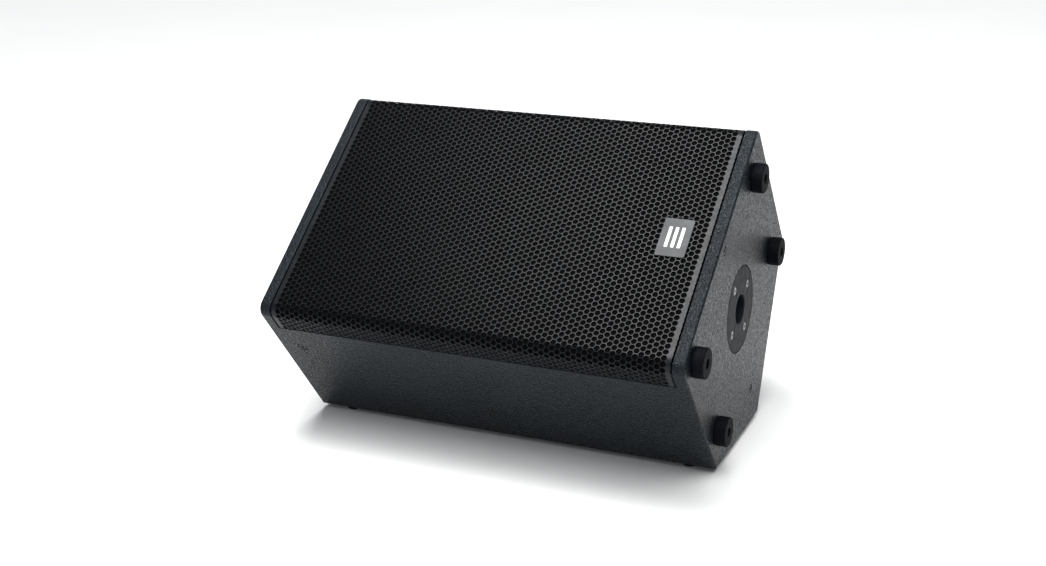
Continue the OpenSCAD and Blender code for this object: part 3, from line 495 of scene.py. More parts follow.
# Each slot's kind of finish, its dark and its light colour, and the kind's other values
FINISHES = {
    "cabinet_paint": (textured_paint, (0.001, 0.002, 0.003), (0.013, 0.019, 0.025),
                      dict(grain=640, depth=0.0005, rough=0.36)),
    "bare_wood": (plywood, (0.34, 0.20, 0.10), (0.60, 0.42, 0.24), {}),
    "grille_paint": (smooth_metal, (0.002, 0.0025, 0.0035), (0.004, 0.005, 0.007),
                     dict(rough=0.36, depth=0.00003, grain=1500, specular=0.20)),
    "foam": (open_foam, (0.0006, 0.0006, 0.0006), (0.003, 0.003, 0.0032), {}),
    "zinc_steel": (smooth_metal, (0.16, 0.16, 0.17), (0.28, 0.28, 0.30), dict(rough=0.36, metal=1.0)),
    "black_screws": (smooth_metal, (0.008, 0.008, 0.009), (0.016, 0.016, 0.018),
                     dict(rough=0.45, specular=0.24)),
    "black_plastic": (moulded, (0.012, 0.012, 0.013), (0.022, 0.022, 0.023), dict(rough=0.48)),
    "badge_metal": (smooth_metal, (0.060, 0.063, 0.064), (0.085, 0.089, 0.090),
                    dict(rough=0.5, specular=0.15)),
    "badge_mark": (smooth_metal, (0.74, 0.75, 0.75), (0.82, 0.83, 0.83), dict(rough=0.5, specular=0.2)),
    "flange_cast": (smooth_metal, (0.004, 0.006, 0.008), (0.008, 0.011, 0.015),
                    dict(rough=0.54, depth=0.00006, grain=700, specular=0.06)),
    "rubber": (matt_rubber, (0.0006, 0.001, 0.002), (0.0016, 0.0026, 0.005), {}),
    "dish_steel": (smooth_metal, (0.012, 0.012, 0.013), (0.022, 0.022, 0.024),
                   dict(rough=0.40, depth=0.00005, grain=1200)),
    "socket_blue": (moulded, (0.010, 0.020, 0.080), (0.016, 0.035, 0.120), dict(rough=0.36)),
    "basket_cast": (smooth_metal, (0.020, 0.021, 0.023), (0.035, 0.036, 0.038),
                    dict(rough=0.5, depth=0.00008, grain=500)),
    "gasket_rubber": (matt_rubber, (0.010, 0.010, 0.010), (0.022, 0.022, 0.022), {}),
    "cone_paper": (cloth, (0.012, 0.012, 0.013), (0.028, 0.028, 0.030), dict(pitch=0.0012)),
    "coil_kapton": (smooth_metal, (0.30, 0.13, 0.03), (0.42, 0.20, 0.05), dict(rough=0.3)),
    "copper": (wire_turns, (0.30, 0.10, 0.04), (0.62, 0.27, 0.12), {}),
    "spider_cloth": (cloth, (0.36, 0.23, 0.08), (0.60, 0.42, 0.18), {}),
    "plate_steel": (smooth_metal, (0.24, 0.24, 0.25), (0.38, 0.38, 0.39), dict(rough=0.34, metal=1.0)),
    "ferrite": (moulded, (0.020, 0.020, 0.021), (0.040, 0.040, 0.041),
                dict(rough=0.6, grain=900, depth=0.0001)),
    "dome_aluminium": (smooth_metal, (0.62, 0.63, 0.65), (0.80, 0.81, 0.83),
                       dict(rough=0.2, metal=1.0)),
    "board_green": (moulded, (0.012, 0.080, 0.026), (0.020, 0.130, 0.045), dict(rough=0.35)),
    "capacitor_yellow": (moulded, (0.50, 0.34, 0.04), (0.62, 0.45, 0.08), dict(rough=0.3)),
    "resistor_ceramic": (moulded, (0.55, 0.53, 0.48), (0.72, 0.70, 0.64), dict(rough=0.7, grain=900)),
    "lead_red": (moulded, (0.16, 0.010, 0.010), (0.26, 0.018, 0.016), dict(rough=0.35)),
    "wool": (cloth, (0.42, 0.39, 0.33), (0.66, 0.62, 0.55), dict(pitch=0.004)),
}
MATERIALS = {
    name: kind(name, dark, light, **more) for name, (kind, dark, light, more) in FINISHES.items()
}


def paint(ob, slot):
    ob.data.materials.clear()
    ob.data.materials.append(MATERIALS[slot])


for part in frame["record"]["subparts"]:
    paint(frame["nodes"][part["node"]], part["material_slot"])


def keep(ob, slot, *nodes):
    """Gives a piece its material and its body, and hides the CAD nodes that it stands for."""
    paint(ob, slot)
    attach(ob, "cabinet")
    if nodes:
        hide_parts(*nodes)


# ---------------------------------------------------------------------------------------------
# Cabinet shell
# ---------------------------------------------------------------------------------------------

END_ROUND = 3.0
INNER_ROUND = 0.4
SPARE = 2
RIG_HOLE_R = 6.6
END_RIG_SPOTS = [(177, -14), (145.5, -277)]
NEAR_RIG_SPOTS = [(-247, -80), (-5, -167)]
FAR_RIG_SPOTS = [(-247, -80)]
END_FOOT_SPOTS = [(32, -30), (32, -188), (307, -38), (307, -192)]
FLANGE_R = 54.5
FLANGE_GAP = 1.3
FLANGE_T = 4
CUP_R = 21.1


def bore(radius, low, high=SPARE):
    """Profile of a cutter for a straight hole. It goes SPARE past the face unless high is given."""
    return [(0, low), (radius, low), (radius, high), (0, high)]


THROUGH = -PANEL_T - SPARE
RIG_HOLE = bore(RIG_HOLE_R, THROUGH)
FLANGE_HOLE_R = FLANGE_R + FLANGE_GAP
POLE_HOLE = [(0, THROUGH), (CUP_R, THROUGH), (CUP_R, -FLANGE_T)] + bore(FLANGE_HOLE_R, -FLANGE_T)[1:]


def end_panel(name, side):
    """An end panel: the section's outline, rounded over at the outer face's edge. Its inner edge is
    rounded along the front only, where the grille lies beside it."""
    levels = [(INNER_ROUND, 0, 0), (0, 0, INNER_ROUND)]
    for across, along in arc_points((END_ROUND, 0), END_ROUND, math.pi, -QUARTER, 6):
        levels.append((across, across, PANEL_T - END_ROUND + along))
    rings = []
    for front, back, out in levels:
        x = side * (INNER_HALF + out)
        rings.append([(x, y, z) for y, z in outline(front, back)])
    bm = bmesh.new()
    loft(bm, rings)
    return finish_mesh(bm, name)


def long_panel(name, wedge):
    """A long panel between the end panels: wedge lists its section, mitre to mitre."""
    bm = bmesh.new()
    rings = [[(x, y, z) for y, z in wedge] for x in (-INNER_HALF, INNER_HALF)]
    loft(bm, rings)
    return finish_mesh(bm, name)


FIRST, SECOND = 0, 1


def half_arc(i, part):
    """The first or the second half of corner i's arc."""
    r = SECTION_R[i]
    c, start, sweep = corner(i, r)
    return arc_points(c, r, start + sweep * part / 2, sweep / 2, 6)


right = end_panel("right_end", 1)
cut(right, [
    cutter([on_end(*at) for at in END_RIG_SPOTS], RIG_HOLE),
    cutter([on_end(POLE_Y, POLE_Z)], POLE_HOLE, 96),
])
keep(right, "cabinet_paint", "right_end_panel")

left = end_panel("left_end", -1)
cut(left, [cutter([on_end(*at, side=-1) for at in END_RIG_SPOTS], RIG_HOLE)])
keep(left, "cabinet_paint", "left_end_panel")

near = long_panel("near_side", half_arc(4, SECOND) + [
    (0, REBATE_END), (REBATE, REBATE_END), (REBATE, SIDE_TOP), (PANEL_T, SIDE_TOP),
    inner_corner(4, PANEL_T)])
cut(near, [cutter([on_near(*at) for at in NEAR_RIG_SPOTS], RIG_HOLE)])
keep(near, "cabinet_paint", "near_side_panel")

HANDLE_X, HANDLE_Z = 25, -135
HANDLE_L, HANDLE_H, HANDLE_DEPTH = 150, 100, 55
HANDLE_FLANGE, HANDLE_WALL, HANDLE_FLANGE_T = 16, 2.5, 3
DISH_L, DISH_H, DISH_DEPTH, DISH_FLANGE, DISH_T = 110, 60, 22, 15, 2
TRAY_GAP = 0.5


def window(place, w, h):
    """A cutter for a tray's opening, with a gap round the tray, through the panel at a place."""
    w, h, reach = w + 2 * TRAY_GAP, h + 2 * TRAY_GAP, 40
    bm = bmesh.new()
    loft(bm, rect_rings([(w, h, 0.5, -reach), (w, h, 0.5, reach)]))
    return finish_mesh(bm, "cutter", place)


far = long_panel("far_side", [
    (FRONT_W - PANEL_T, SIDE_TOP), (FRONT_W - REBATE, SIDE_TOP), (FRONT_W - REBATE, REBATE_END),
    (FRONT_W, REBATE_END)] + half_arc(2, FIRST) + [inner_corner(2, PANEL_T)])
cut(far, [
    cutter([on_far(*at) for at in FAR_RIG_SPOTS], RIG_HOLE),
    window(on_far(HANDLE_X, HANDLE_Z), HANDLE_L + 2 * HANDLE_WALL, HANDLE_H + 2 * HANDLE_WALL),
])
keep(far, "cabinet_paint", "far_side_panel")

rear = long_panel("rear", half_arc(2, SECOND) + half_arc(3, FIRST) + [
    inner_corner(3, PANEL_T), inner_corner(2, PANEL_T)])
cut(rear, [window(on_rear(0, REAR_W / 2), DISH_L, DISH_H)])
keep(rear, "cabinet_paint", "rear_panel")

monitor = long_panel("monitor_face", half_arc(3, SECOND) + half_arc(4, FIRST) + [
    inner_corner(4, PANEL_T), inner_corner(3, PANEL_T)])
keep(monitor, "cabinet_paint", "monitor_panel")

# ---------------------------------------------------------------------------------------------
# Grille: a sheet punched with hexagonal holes in a honeycomb, bent over both long front edges
# ---------------------------------------------------------------------------------------------

GRILLE_HALF = INNER_HALF - 2.2
GRILLE_INSET = 0.4
GRILLE_T = 1.2
# The honeycomb: the pitch of its holes, the columns of them along the cabinet, and a hole's radii
# to the middle of its sides and to its corners
PITCH = 7.8
COLUMN = PITCH * math.sqrt(3) / 2
COLUMNS = 76
CELL_IN, CELL_OUT = PITCH / 2, PITCH / math.sqrt(3)
HOLE_IN, HOLE_OUT = 3.5, 3.9
LEAST_CUT = 0.6
# The sheet across the front, as if flat: a flat middle, two bends and two flanges
BEND_R = FRONT_R
FLANGE_LEN = WRAP - GRILLE_INSET - BEND_R
BEND_LEN = BEND_R * math.pi / 2
FLAT_LEN = FRONT_W - 2 * (GRILLE_INSET + BEND_R)
SHEET_HALF = FLANGE_LEN + BEND_LEN + FLAT_LEN / 2


def bent(v, depth):
    """Where a point of the flat sheet lies once bent: v runs across the front from its middle."""
    side = 1 if v >= 0 else -1
    s = abs(v)
    r = BEND_R - depth
    edge = FLAT_LEN / 2
    if s <= edge:
        y, z = s, -GRILLE_INSET - depth
    elif s <= edge + BEND_LEN:
        a = (s - edge) / BEND_R
        y = edge + r * math.sin(a)
        z = -GRILLE_INSET - BEND_R + r * math.cos(a)
    else:
        y = edge + r
        z = -GRILLE_INSET - BEND_R - (s - edge - BEND_LEN)
    return FRONT_W / 2 + side * y, z


def hexagon(x0, v0, r_out, r_in):
    """Corners of a hexagon and the middles of its sides, in turn."""
    points = []
    for k in range(12):
        a = math.pi / 6 * k
        r = r_in if k % 2 else r_out
        points.append((x0 + r * math.cos(a), v0 + r * math.sin(a)))
    return points


def punched_sheet():
    """Cells of the honeycomb, each a hexagon with a hole in it, skinned on both faces. The sheet's
    long edges run through the last row of holes."""
    bm = bmesh.new()
    stores, twins, on_edge = ({}, {}), {}, set()

    def new_vert(x, v, side):
        """A point of the front face (side 0) or the back, moved onto the sheet if it is past it."""
        v_on = max(-SHEET_HALF, min(SHEET_HALF, v))
        vert = bm.verts.new((x, *bent(v_on, GRILLE_T * side)))
        if abs(v_on) > SHEET_HALF - 1e-6:
            on_edge.add(vert)
        return vert

    def shared_vert(x, v, side):
        """The one point that neighbouring cells have in common."""
        x = max(-GRILLE_HALF, min(GRILLE_HALF, x))
        v = max(-SHEET_HALF, min(SHEET_HALF, v))
        key = (round(x * 500), round(v * 500))
        if key not in stores[side]:
            stores[side][key] = new_vert(x, v, side)
        return stores[side][key]

    def face(verts):
        ring = list(dict.fromkeys(verts))
        if len(ring) > 2 and not on_edge.issuperset(ring):
            bm.faces.new(ring)

    def cell(x0, v0, whole):
        rim = hexagon(x0, v0, CELL_OUT, CELL_IN)
        if whole:
            for side in (0, 1):
                face([shared_vert(*p, side) for p in rim])
            return
        hole = hexagon(x0, v0, HOLE_OUT, HOLE_IN)
        inner = [[new_vert(*p, side) for p in hole] for side in (0, 1)]
        for k in range(len(rim)):
            j = (k + 1) % len(rim)
            for side in (0, 1):
                edge = [shared_vert(*rim[k], side), shared_vert(*rim[j], side)]
                face(edge + [inner[side][j], inner[side][k]])
            face([inner[0][k], inner[0][j], inner[1][j], inner[1][k]])
            twins[inner[0][k]] = inner[1][k]

    rows = math.ceil(SHEET_HALF / PITCH)
    for column in range(-1, COLUMNS + 1):
        offset = 0.0 if column % 2 else 0.5
        for row in range(-rows - 1, rows + 1):
            v0 = (row + offset) * PITCH
            if abs(v0) < SHEET_HALF + CELL_IN - 0.01:
                whole = not 0 <= column < COLUMNS or abs(v0) > SHEET_HALF + HOLE_IN - LEAST_CUT
                cell((column - (COLUMNS - 1) / 2) * COLUMN, v0, whole)

    # The sheet's edges: each open edge of the front face joined to its twin on the back
    twins.update((vert, stores[1][key]) for key, vert in stores[0].items())
    for edge in [e for e in bm.edges if len(e.link_faces) == 1]:
        a, b = edge.verts
        if a in twins and b in twins:
            bm.faces.new([a, b, twins[b], twins[a]])
    bmesh.ops.delete(bm, geom=[v for v in bm.verts if not v.link_faces], context="VERTS")
    return finish_mesh(bm, "grille_sheet")


keep(punched_sheet(), "grille_paint", "grille")

# Foam behind the grille, following its bends: a sheet with a slightly uneven front face
FOAM_T = 5
FOAM_FROM = GRILLE_T + 0.1
FOAM_HALF_X = GRILLE_HALF - 1
FOAM_HALF = FLAT_LEN / 2 + BEND_LEN - SIDE_TOP - 0.2 - GRILLE_INSET - BEND_R
FOAM_SWELL = 0.3


def foam_sheet():
    nx, ny = 132, 92
    bm = bmesh.new()
    levels = []
    for depth, swell in ((FOAM_FROM + FOAM_T, 0), (FOAM_FROM + FOAM_SWELL, FOAM_SWELL)):
        level = []
        for j in range(ny + 1):
            row = []
            for i in range(nx + 1):
                wave = math.sin(i * 1.7) * math.sin(j * 2.3)
                y, z = bent(FOAM_HALF * (2 * j / ny - 1), depth + swell * wave)
                row.append(bm.verts.new((FOAM_HALF_X * (2 * i / nx - 1), y, z)))
            level.append(row)
        levels.append(level)
        for j in range(ny):
            for i in range(nx):
                bm.faces.new((level[j][i], level[j][i + 1], level[j + 1][i + 1], level[j + 1][i]))
    low, top = levels
    for j in range(ny):
        for i in (0, nx):
            bm.faces.new((low[j][i], low[j + 1][i], top[j + 1][i], top[j][i]))
    for i in range(nx):
        for j in (0, ny):
            bm.faces.new((low[j][i], low[j][i + 1], top[j][i + 1], top[j][i]))
    return finish_mesh(bm, "foam_sheet")


keep(foam_sheet(), "foam", "grille_foam")

# ---------------------------------------------------------------------------------------------
# Badge: a thin plate with round corners and a plain raised emblem
# ---------------------------------------------------------------------------------------------

BADGE_W, BADGE_LEN, BADGE_T = 37, 55, 1.4
BADGE_PLACE = Matrix.Translation((221, FRONT_W / 2, -GRILLE_INSET))
MARK_W, MARK_LEN, MARK_STEP = 4, 30, 8


def badge():
    bm = bmesh.new()
    levels = ((0.1, 0), (0, 0.2), (0, BADGE_T - 0.4), (0.1, BADGE_T - 0.12), (0.3, BADGE_T))
    loft(bm, rect_rings([(BADGE_W - 2 * d, BADGE_LEN - 2 * d, 2.5 - d, z) for d, z in levels]))
    return finish_mesh(bm, "badge_plate", BADGE_PLACE)


def emblem():
    """Three plain upright bars, raised from the plate."""
    bm = bmesh.new()
    levels = ((0, -0.1), (0, 0.25), (0.2, 0.38))
    bar = rect_rings([(MARK_W - 2 * d, MARK_LEN - 2 * d, 1.2 - d, BADGE_T + z) for d, z in levels])
    for x in (-MARK_STEP, 0, MARK_STEP):
        loft(bm, bar, Matrix.Translation((x, 0, 0)))
    return finish_mesh(bm, "badge_emblem", BADGE_PLACE)


keep(badge(), "badge_metal", "badge")
keep(emblem(), "badge_mark")

# ---------------------------------------------------------------------------------------------
# Screws and fittings
# ---------------------------------------------------------------------------------------------

def circle(r, z, sides):
    angles = (2 * math.pi * k / sides for k in range(sides))
    return [(r * math.cos(a), r * math.sin(a), z) for a in angles]


def hex_key(r, z, sides):
    """A hexagon whose corners lie at r, drawn with sides points so that it joins a circle.
    off_middle is the angle from the middle of the nearest flat."""
    points = []
    for k in range(sides):
        a = 2 * math.pi * k / sides
        off_middle = (a + math.pi / 6) % (math.pi / 3) - math.pi / 6
        reach = r * math.cos(math.pi / 6) / math.cos(off_middle)
        points.append((reach * math.cos(a), reach * math.sin(a), z))
    return points


def socket_screw(bm, at, head_r, head_t, key_r, shank_r, shank_l):
    """A plain shank below the place's z = 0, and on it a round head with a hexagon socket."""
    sides = 36
    rim = 0.35 * min(head_t, 1.5)
    loft(bm, [
        circle(shank_r, -shank_l, sides), circle(shank_r, 0, sides), circle(head_r, 0, sides),
        circle(head_r, head_t - rim, sides), circle(head_r - rim * 0.3, head_t - rim * 0.3, sides),
        circle(head_r - rim, head_t, sides), hex_key(key_r, head_t, sides),
        hex_key(key_r * 0.97, head_t * 0.35, sides)], at)


def screws(name, places, **size):
    bm = bmesh.new()
    for at in places:
        socket_screw(bm, at, **size)
    return finish_mesh(bm, name)


def raised(place, z):
    """A place moved out of its face by z."""
    return place @ Matrix.Translation((0, 0, z))


# Rigging points: threaded inserts with blanking screws sunk in them
RIG_SINK = 2.6
INSERT_IN, INSERT_OUT = 4.1, 6.5
RIG_PLACES = (
    [on_end(*at) for at in END_RIG_SPOTS] + [on_end(*at, side=-1) for at in END_RIG_SPOTS]
    + [on_near(*at) for at in NEAR_RIG_SPOTS] + [on_far(*at) for at in FAR_RIG_SPOTS]
)
keep(screws("rigging_screw_heads", [raised(p, -RIG_SINK) for p in RIG_PLACES],
            head_r=5.5, head_t=RIG_SINK - 0.3, key_r=2.6, shank_r=4, shank_l=10),
     "black_screws", "rigging_screws")
keep(lathed("rigging_insert_rings", RIG_PLACES, rounded_profile(
    [(INSERT_IN, -PANEL_T), (INSERT_OUT, -PANEL_T), (INSERT_OUT, -RIG_SINK), (INSERT_IN, -RIG_SINK)],
    [0, 0, 0.2, 0.2])), "zinc_steel", "rigging_inserts")

# Pole flange: a flush disc with four screws, and the closed tube behind it
POLE_R = 18.25
POLE_L = 77
CUP_WALL = 2.7
PCD_R = 39
SCREW_SINK = 2.7
POLE_PLACE = on_end(POLE_Y, POLE_Z)
flange = lathed("pole_mount", [POLE_PLACE], [
    (0, -POLE_L - CUP_WALL), (POLE_R + CUP_WALL, -POLE_L - CUP_WALL), (POLE_R + CUP_WALL, -FLANGE_T),
    (FLANGE_R, -FLANGE_T), (FLANGE_R, -0.5), (FLANGE_R - 0.15, -0.15), (FLANGE_R - 0.5, 0),
    (POLE_R + 1.6, 0), (POLE_R + 1.1, -0.15), (POLE_R + 0.2, -0.9), (POLE_R, -1.3), (POLE_R, -POLE_L),
    (0, -POLE_L)], 128)
PCD_PLACES = [
    POLE_PLACE @ Matrix.Rotation(QUARTER * i, 4, "Z") @ Matrix.Translation((PCD_R, 0, 0)) for i in range(4)
]
cut(flange, [cutter(PCD_PLACES, bore(5.5, -SCREW_SINK, 1), 40)])
keep(flange, "flange_cast", "pole_flange")
keep(screws("pole_mount_screws", [raised(p, -SCREW_SINK) for p in PCD_PLACES],
            head_r=5.2, head_t=2.5, key_r=2.6, shank_r=3, shank_l=10),
     "zinc_steel", "pole_flange_screws")

# Feet on the end: rubber with a rounded rim and a deep recess for a screw on a washer
FOOT_R, FOOT_H = 18.5, 15
FOOT_FLOOR, FOOT_HOLE_R, FOOT_RECESS_R = 8, 2.6, 6
WASHER_R, WASHER_T = 5.6, 1.2
FOOT_PLACES = [on_end(*at) for at in END_FOOT_SPOTS]
foot_profile = rounded_profile(
    [(FOOT_HOLE_R, 0), (FOOT_R - 0.8, 0), (FOOT_R, 2), (FOOT_R, FOOT_H), (FOOT_RECESS_R, FOOT_H),
     (FOOT_RECESS_R, FOOT_FLOOR), (FOOT_HOLE_R, FOOT_FLOOR)],
    [0, 0.6, 1, 1.5, 0.7, 0.4, 0])
keep(lathed("end_feet_rubber", FOOT_PLACES, foot_profile, 72), "rubber", "end_feet")

WASHER_TOP = FOOT_FLOOR + WASHER_T
washer = rounded_profile(
    [(FOOT_HOLE_R, FOOT_FLOOR), (WASHER_R, FOOT_FLOOR), (WASHER_R, WASHER_TOP), (FOOT_HOLE_R, WASHER_TOP)],
    [0, 0, 0.4, 0.2])
bm = bmesh.new()
for at in FOOT_PLACES:
    lathe(bm, washer, 48, at)
    socket_screw(bm, raised(at, WASHER_TOP), head_r=4.4, head_t=3, key_r=2.1, shank_r=2.5, shank_l=20)
keep(finish_mesh(bm, "end_feet_fixings"), "black_screws", "end_feet_screws")

# Low feet under the monitor face
LOW_R, LOW_H, LOW_FLOOR, LOW_X, LOW_EDGE = 11, 7, 3, 240, 20
LOW_PLACES = [on_monitor(x, s) for x in (-LOW_X, LOW_X) for s in (LOW_EDGE, MONITOR_W - LOW_EDGE)]
keep(lathed("low_feet_rubber", LOW_PLACES, rounded_profile(
    [(2, 0), (LOW_R, 0), (LOW_R, LOW_H), (5, LOW_H), (5, LOW_FLOOR), (2, LOW_FLOOR)],
    [0, 0.4, 1.2, 0.6, 0.3, 0]), 48), "rubber", "floor_feet")
keep(screws("low_feet_screws", [raised(p, LOW_FLOOR) for p in LOW_PLACES],
            head_r=4.2, head_t=2.4, key_r=2.0, shank_r=1.9, shank_l=14),
     "zinc_steel", "floor_feet_screws")

# ---------------------------------------------------------------------------------------------
# Handle in the far side, and the connector dish in the rear
# ---------------------------------------------------------------------------------------------

def tray(name, place, inner, flange, flange_t, depth, wall, round_out, round_in):
    """A flanged tray in a face: up its outside, over the flange's rounded rim and down inside."""
    iw, ih = inner
    lip = 0.8
    levels = [
        (2 * wall, round_in + wall, -depth - wall), (2 * wall, round_in + wall, 0),
        (2 * flange, round_out, 0), (2 * flange, round_out, flange_t - lip),
        (2 * flange - 0.5 * lip, round_out - 0.25 * lip, flange_t - 0.25 * lip),
        (2 * flange - 2 * lip, round_out - lip, flange_t),
        (3, round_in + 1.5, flange_t), (0.8, round_in + 0.4, flange_t - 0.8), (0, round_in, flange_t - 2.4),
        (-3, round_in - 1.5, 5 - depth), (-5, round_in - 2.5, 1.5 - depth), (-11, round_in - 4, -depth),
    ]
    bm = bmesh.new()
    loft(bm, rect_rings([(iw + more, ih + more, max(r, 1), z) for more, r, z in levels], 8))
    return finish_mesh(bm, name, place)


def frame_spots(on_face, x, y, w, h):
    """The four corners of a rectangle on a face, centred at x, y."""
    return [on_face(x + i * w / 2, y + j * h / 2) for i in (-1, 1) for j in (-1, 1)]


HANDLE_PLACE = on_far(HANDLE_X, HANDLE_Z)
keep(tray("handle_tray", HANDLE_PLACE, (HANDLE_L, HANDLE_H), HANDLE_FLANGE, HANDLE_FLANGE_T,
          HANDLE_DEPTH, HANDLE_WALL, 12, 10), "black_plastic", "handle_cup")

# The bar: a soft grip with ridges between two plain ends
BAR_R = 11
BAR_DEPTH = 14
RIDGES = 22


def bar_profile():
    end, collar_r = HANDLE_L / 2 - 0.5, BAR_R + 2
    neck = HANDLE_L / 2 - 5
    grip = HANDLE_L / 2 - 12
    points = [(0, -end), (collar_r, -end), (collar_r, -neck)]
    for k in range(RIDGES * 4 + 1):
        points.append((BAR_R - 0.5 + 0.5 * math.cos(QUARTER * k), -grip + 2 * grip * k / (RIDGES * 4)))
    return points + [(collar_r, neck), (collar_r, end), (0, end)]


bar_place = raised(HANDLE_PLACE, -BAR_DEPTH) @ Matrix.Rotation(QUARTER, 4, "Y")
keep(lathed("handle_grip", [bar_place], bar_profile(), 48), "rubber", "handle_bar")
handle_screws = frame_spots(on_far, HANDLE_X, HANDLE_Z, HANDLE_L + HANDLE_FLANGE, HANDLE_H + HANDLE_FLANGE)
keep(screws("handle_tray_screws", [raised(p, HANDLE_FLANGE_T) for p in handle_screws],
            head_r=4.2, head_t=2.6, key_r=2.0, shank_r=2.2, shank_l=16),
     "black_screws", "handle_screws")

SOCKET_PITCH = 52
SOCKET_PLACES = [on_rear(side * SOCKET_PITCH / 2, REAR_W / 2) for side in (-1, 1)]
dish = tray("connector_tray", on_rear(0, REAR_W / 2), (DISH_L - 2 * DISH_T, DISH_H - 2 * DISH_T),
            DISH_FLANGE + DISH_T, DISH_T, DISH_DEPTH - DISH_T, DISH_T, 8, 6)
cut(dish, [cutter(SOCKET_PLACES, bore(13, -DISH_DEPTH - 8, -10))])
keep(dish, "dish_steel", "connector_dish")
dish_screws = frame_spots(on_rear, 0, REAR_W / 2, DISH_L + DISH_FLANGE, DISH_H + DISH_FLANGE)
keep(screws("connector_tray_screws", [raised(p, DISH_T) for p in dish_screws],
            head_r=3.8, head_t=2.2, key_r=1.8, shank_r=2, shank_l=14),
     "black_screws", "dish_screws")

# Four-pole sockets: a plate with round corners and a round bore, and a shell with a spigot and blades
SOCKET_W, SOCKET_H, SOCKET_BORE_R = 26, 31, 12.2
SHELL_OUT, SHELL_IN, SHELL_DEEP = 12.4, 11, 19
SPIGOT_OUT, SPIGOT_IN = 7.4, 3.2
BLADE_R = 8


def socket_plate(name, place):
    """A plate that stands on its place, with round corners and the bore."""
    bm = bmesh.new()
    levels = ((0, 0), (0, 2.5), (0.3, 3))
    loft(bm, rect_rings([(SOCKET_W - 2 * d, SOCKET_H - 2 * d, 2.5 - d, z) for d, z in levels]))
    plate = finish_mesh(bm, name, place)
    cut(plate, [cutter([place], bore(SOCKET_BORE_R, -2, 5))])
    return plate


def socket_insert(name, place):
    """A shell with a floor, the spigot that stands on it and four blades round the spigot."""
    bm = bmesh.new()
    lathe(bm, rounded_profile(
        [(0, -SHELL_DEEP - 4), (SHELL_OUT, -SHELL_DEEP - 4), (SHELL_OUT, 2.4), (SHELL_IN, 2.4),
         (SHELL_IN, -SHELL_DEEP), (0, -SHELL_DEEP)], [0, 1, 0.3, 0.5, 0, 0]), 56, place)
    lathe(bm, rounded_profile(
        [(0, -SHELL_DEEP - 0.2), (SPIGOT_OUT, -SHELL_DEEP - 0.2), (SPIGOT_OUT, 1), (SPIGOT_IN, 1),
         (SPIGOT_IN, -8), (0, -8)], [0, 0, 0.8, 0.5, 0, 0]), 40, place)
    blade = rect_rings([(1.2, 3.4, 0.3, -SHELL_DEEP), (1.2, 3.4, 0.3, 1.6), (0.8, 3.0, 0.2, 2)])
    for k in range(4):
        turned = place @ Matrix.Rotation(math.pi / 4 + QUARTER * k, 4, "Z")
        loft(bm, blade, turned @ Matrix.Translation((BLADE_R, 0, 0)))
    return finish_mesh(bm, name)


for side, at in zip(("input", "link"), SOCKET_PLACES):
    on_dish = raised(at, DISH_T - DISH_DEPTH)
    keep(socket_plate(side + "_socket_plate", on_dish), "black_plastic", side + "_socket")
    keep(socket_insert(side + "_socket_plate_insert", on_dish), "socket_blue")

# ---------------------------------------------------------------------------------------------
# Floor, lights and camera
# ---------------------------------------------------------------------------------------------

def floor_material():
    n = Nodes("studio_floor")
    colour = n.mix(n.noise(3, 2), (0.80, 0.80, 0.80), (0.83, 0.83, 0.83))
    return n.set(colour=colour, rough=0.9, specular=0.0)


bm = bmesh.new()
bmesh.ops.create_grid(bm, x_segments=1, y_segments=1, size=30)
mesh = bpy.data.meshes.new("floor")
bm.to_mesh(mesh)
bm.free()
floor = bpy.data.objects.new("floor", mesh)
floor.location.z = cad_lo.z
floor.data.materials.append(floor_material())
bpy.context.scene.collection.objects.link(floor)

centre = (cad_lo + cad_hi) / 2


def area_light(name, place, aim, size, power, colour=(1, 1, 1)):
    """A rectangular light at a place, shining towards its aim."""
    data = bpy.data.lights.new(name, "AREA")
    data.shape = "RECTANGLE"
    data.size, data.size_y = size
    data.energy = power
    data.color = colour
    ob = bpy.data.objects.new(name, data)
    ob.location = place
    ob.rotation_mode = "QUATERNION"
    ob.rotation_quaternion = (Vector(aim) - Vector(place)).to_track_quat("-Z", "Y")
    bpy.context.scene.collection.objects.link(ob)


def sun(name, direction, strength, spread):
    """Light that comes from a direction, its spread in degrees."""
    data = bpy.data.lights.new(name, "SUN")
    data.energy = strength
    data.angle = math.radians(spread)
    ob = bpy.data.objects.new(name, data)
    ob.location = centre + Vector(direction) * 3
    ob.rotation_mode = "QUATERNION"
    ob.rotation_quaternion = Vector(direction).to_track_quat("Z", "Y")
    bpy.context.scene.collection.objects.link(ob)


sun("overall", (0.25, -0.35, 0.90), 3.0, 40)
area_light("softbox", centre + Vector((-0.12, -0.1, 0.98)) * 2.2, centre, (1.2, 1.2), 66)
area_light("behind", centre + Vector((1.0, 1.6, 0.9)), centre + Vector((0.7, 1.2, -0.2)), (0.8, 0.8), 1.5)
area_light("front_left", centre + Vector((-0.39, -0.92, -0.02)) * 2.6, centre, (0.8, 0.8), 1.5,
           (0.50, 0.78, 1))


# The share of the room's light that is left in its dark parts
DARKEST = 0.03


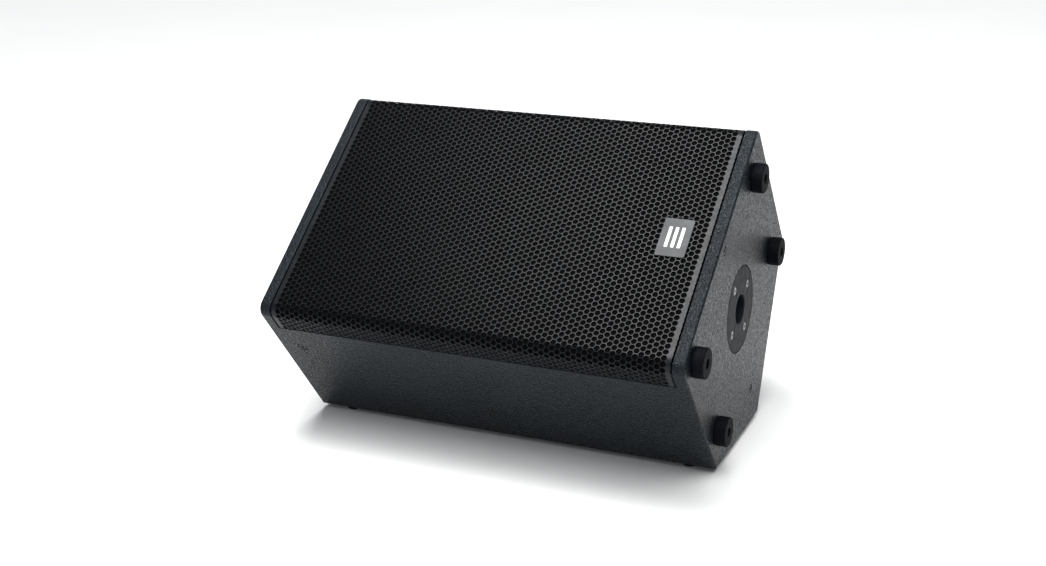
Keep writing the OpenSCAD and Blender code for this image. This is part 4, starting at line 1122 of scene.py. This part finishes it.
def studio_world(light, strength, dark_sides):
    """An evenly lit room with dark parts, each given by a direction and the cosines where its
    darkness begins and is complete."""
    world = bpy.data.worlds.new("studio")
    world.use_nodes = True
    tree = world.node_tree
    where = tree.nodes.new("ShaderNodeTexCoord").outputs["Generated"]
    level = None
    for direction, begin, full in dark_sides:
        toward = tree.nodes.new("ShaderNodeVectorMath")
        toward.operation = "DOT_PRODUCT"
        toward.inputs[1].default_value = Vector(direction).normalized()
        tree.links.new(where, toward.inputs[0])
        fade = tree.nodes.new("ShaderNodeMapRange")
        fade.interpolation_type = "SMOOTHSTEP"
        for key, v in (("From Min", begin), ("From Max", full), ("To Min", 1), ("To Max", DARKEST)):
            fade.inputs[key].default_value = v
        tree.links.new(toward.outputs["Value"], fade.inputs["Value"])
        both = tree.nodes.new("ShaderNodeMath")
        both.operation = "MULTIPLY"
        both.inputs[1].default_value = strength
        tree.links.new(fade.outputs["Result"], both.inputs[0])
        if level is not None:
            tree.links.new(level, both.inputs[1])
        level = both.outputs["Value"]
    background = tree.nodes["Background"]
    background.inputs["Color"].default_value = (*light, 1)
    tree.links.new(level, background.inputs["Strength"])
    bpy.context.scene.world = world


studio_world((0.92, 0.97, 1), 0.87, [((0.8, 0.1, 0.59), 0.35, 0.8), ((-0.62, -0.1, 0.78), 0.4, 0.85)])

# The camera stands right of the front and above it, looking down at the cabinet
FRONT_EDGE = CABINET @ Vector((0, 0, 0))
CAMERA_FROM_EDGE = Vector((0.7747, -1.5239, 0.6777))
CAMERA_DOWN, CAMERA_LEFT, CAMERA_ROLL = 19.64, 24.29, -1.31
LENS = 53.40

camera_data = bpy.data.cameras.new("camera")
camera_data.lens = LENS
camera_data.sensor_width = 36
camera_data.clip_end = 100
camera = bpy.data.objects.new("camera", camera_data)
camera.location = FRONT_EDGE + CAMERA_FROM_EDGE
camera.rotation_mode = "QUATERNION"
el, az = math.radians(CAMERA_DOWN), math.radians(CAMERA_LEFT)
look = Vector((-math.sin(az) * math.cos(el), math.cos(az) * math.cos(el), -math.sin(el)))
camera.rotation_quaternion = look.to_track_quat("-Z", "Y") @ Matrix.Rotation(
    math.radians(CAMERA_ROLL), 4, "Z").to_quaternion()
bpy.context.scene.collection.objects.link(camera)
bpy.context.scene.camera = camera

bpy.context.scene.view_settings.view_transform = "Standard"
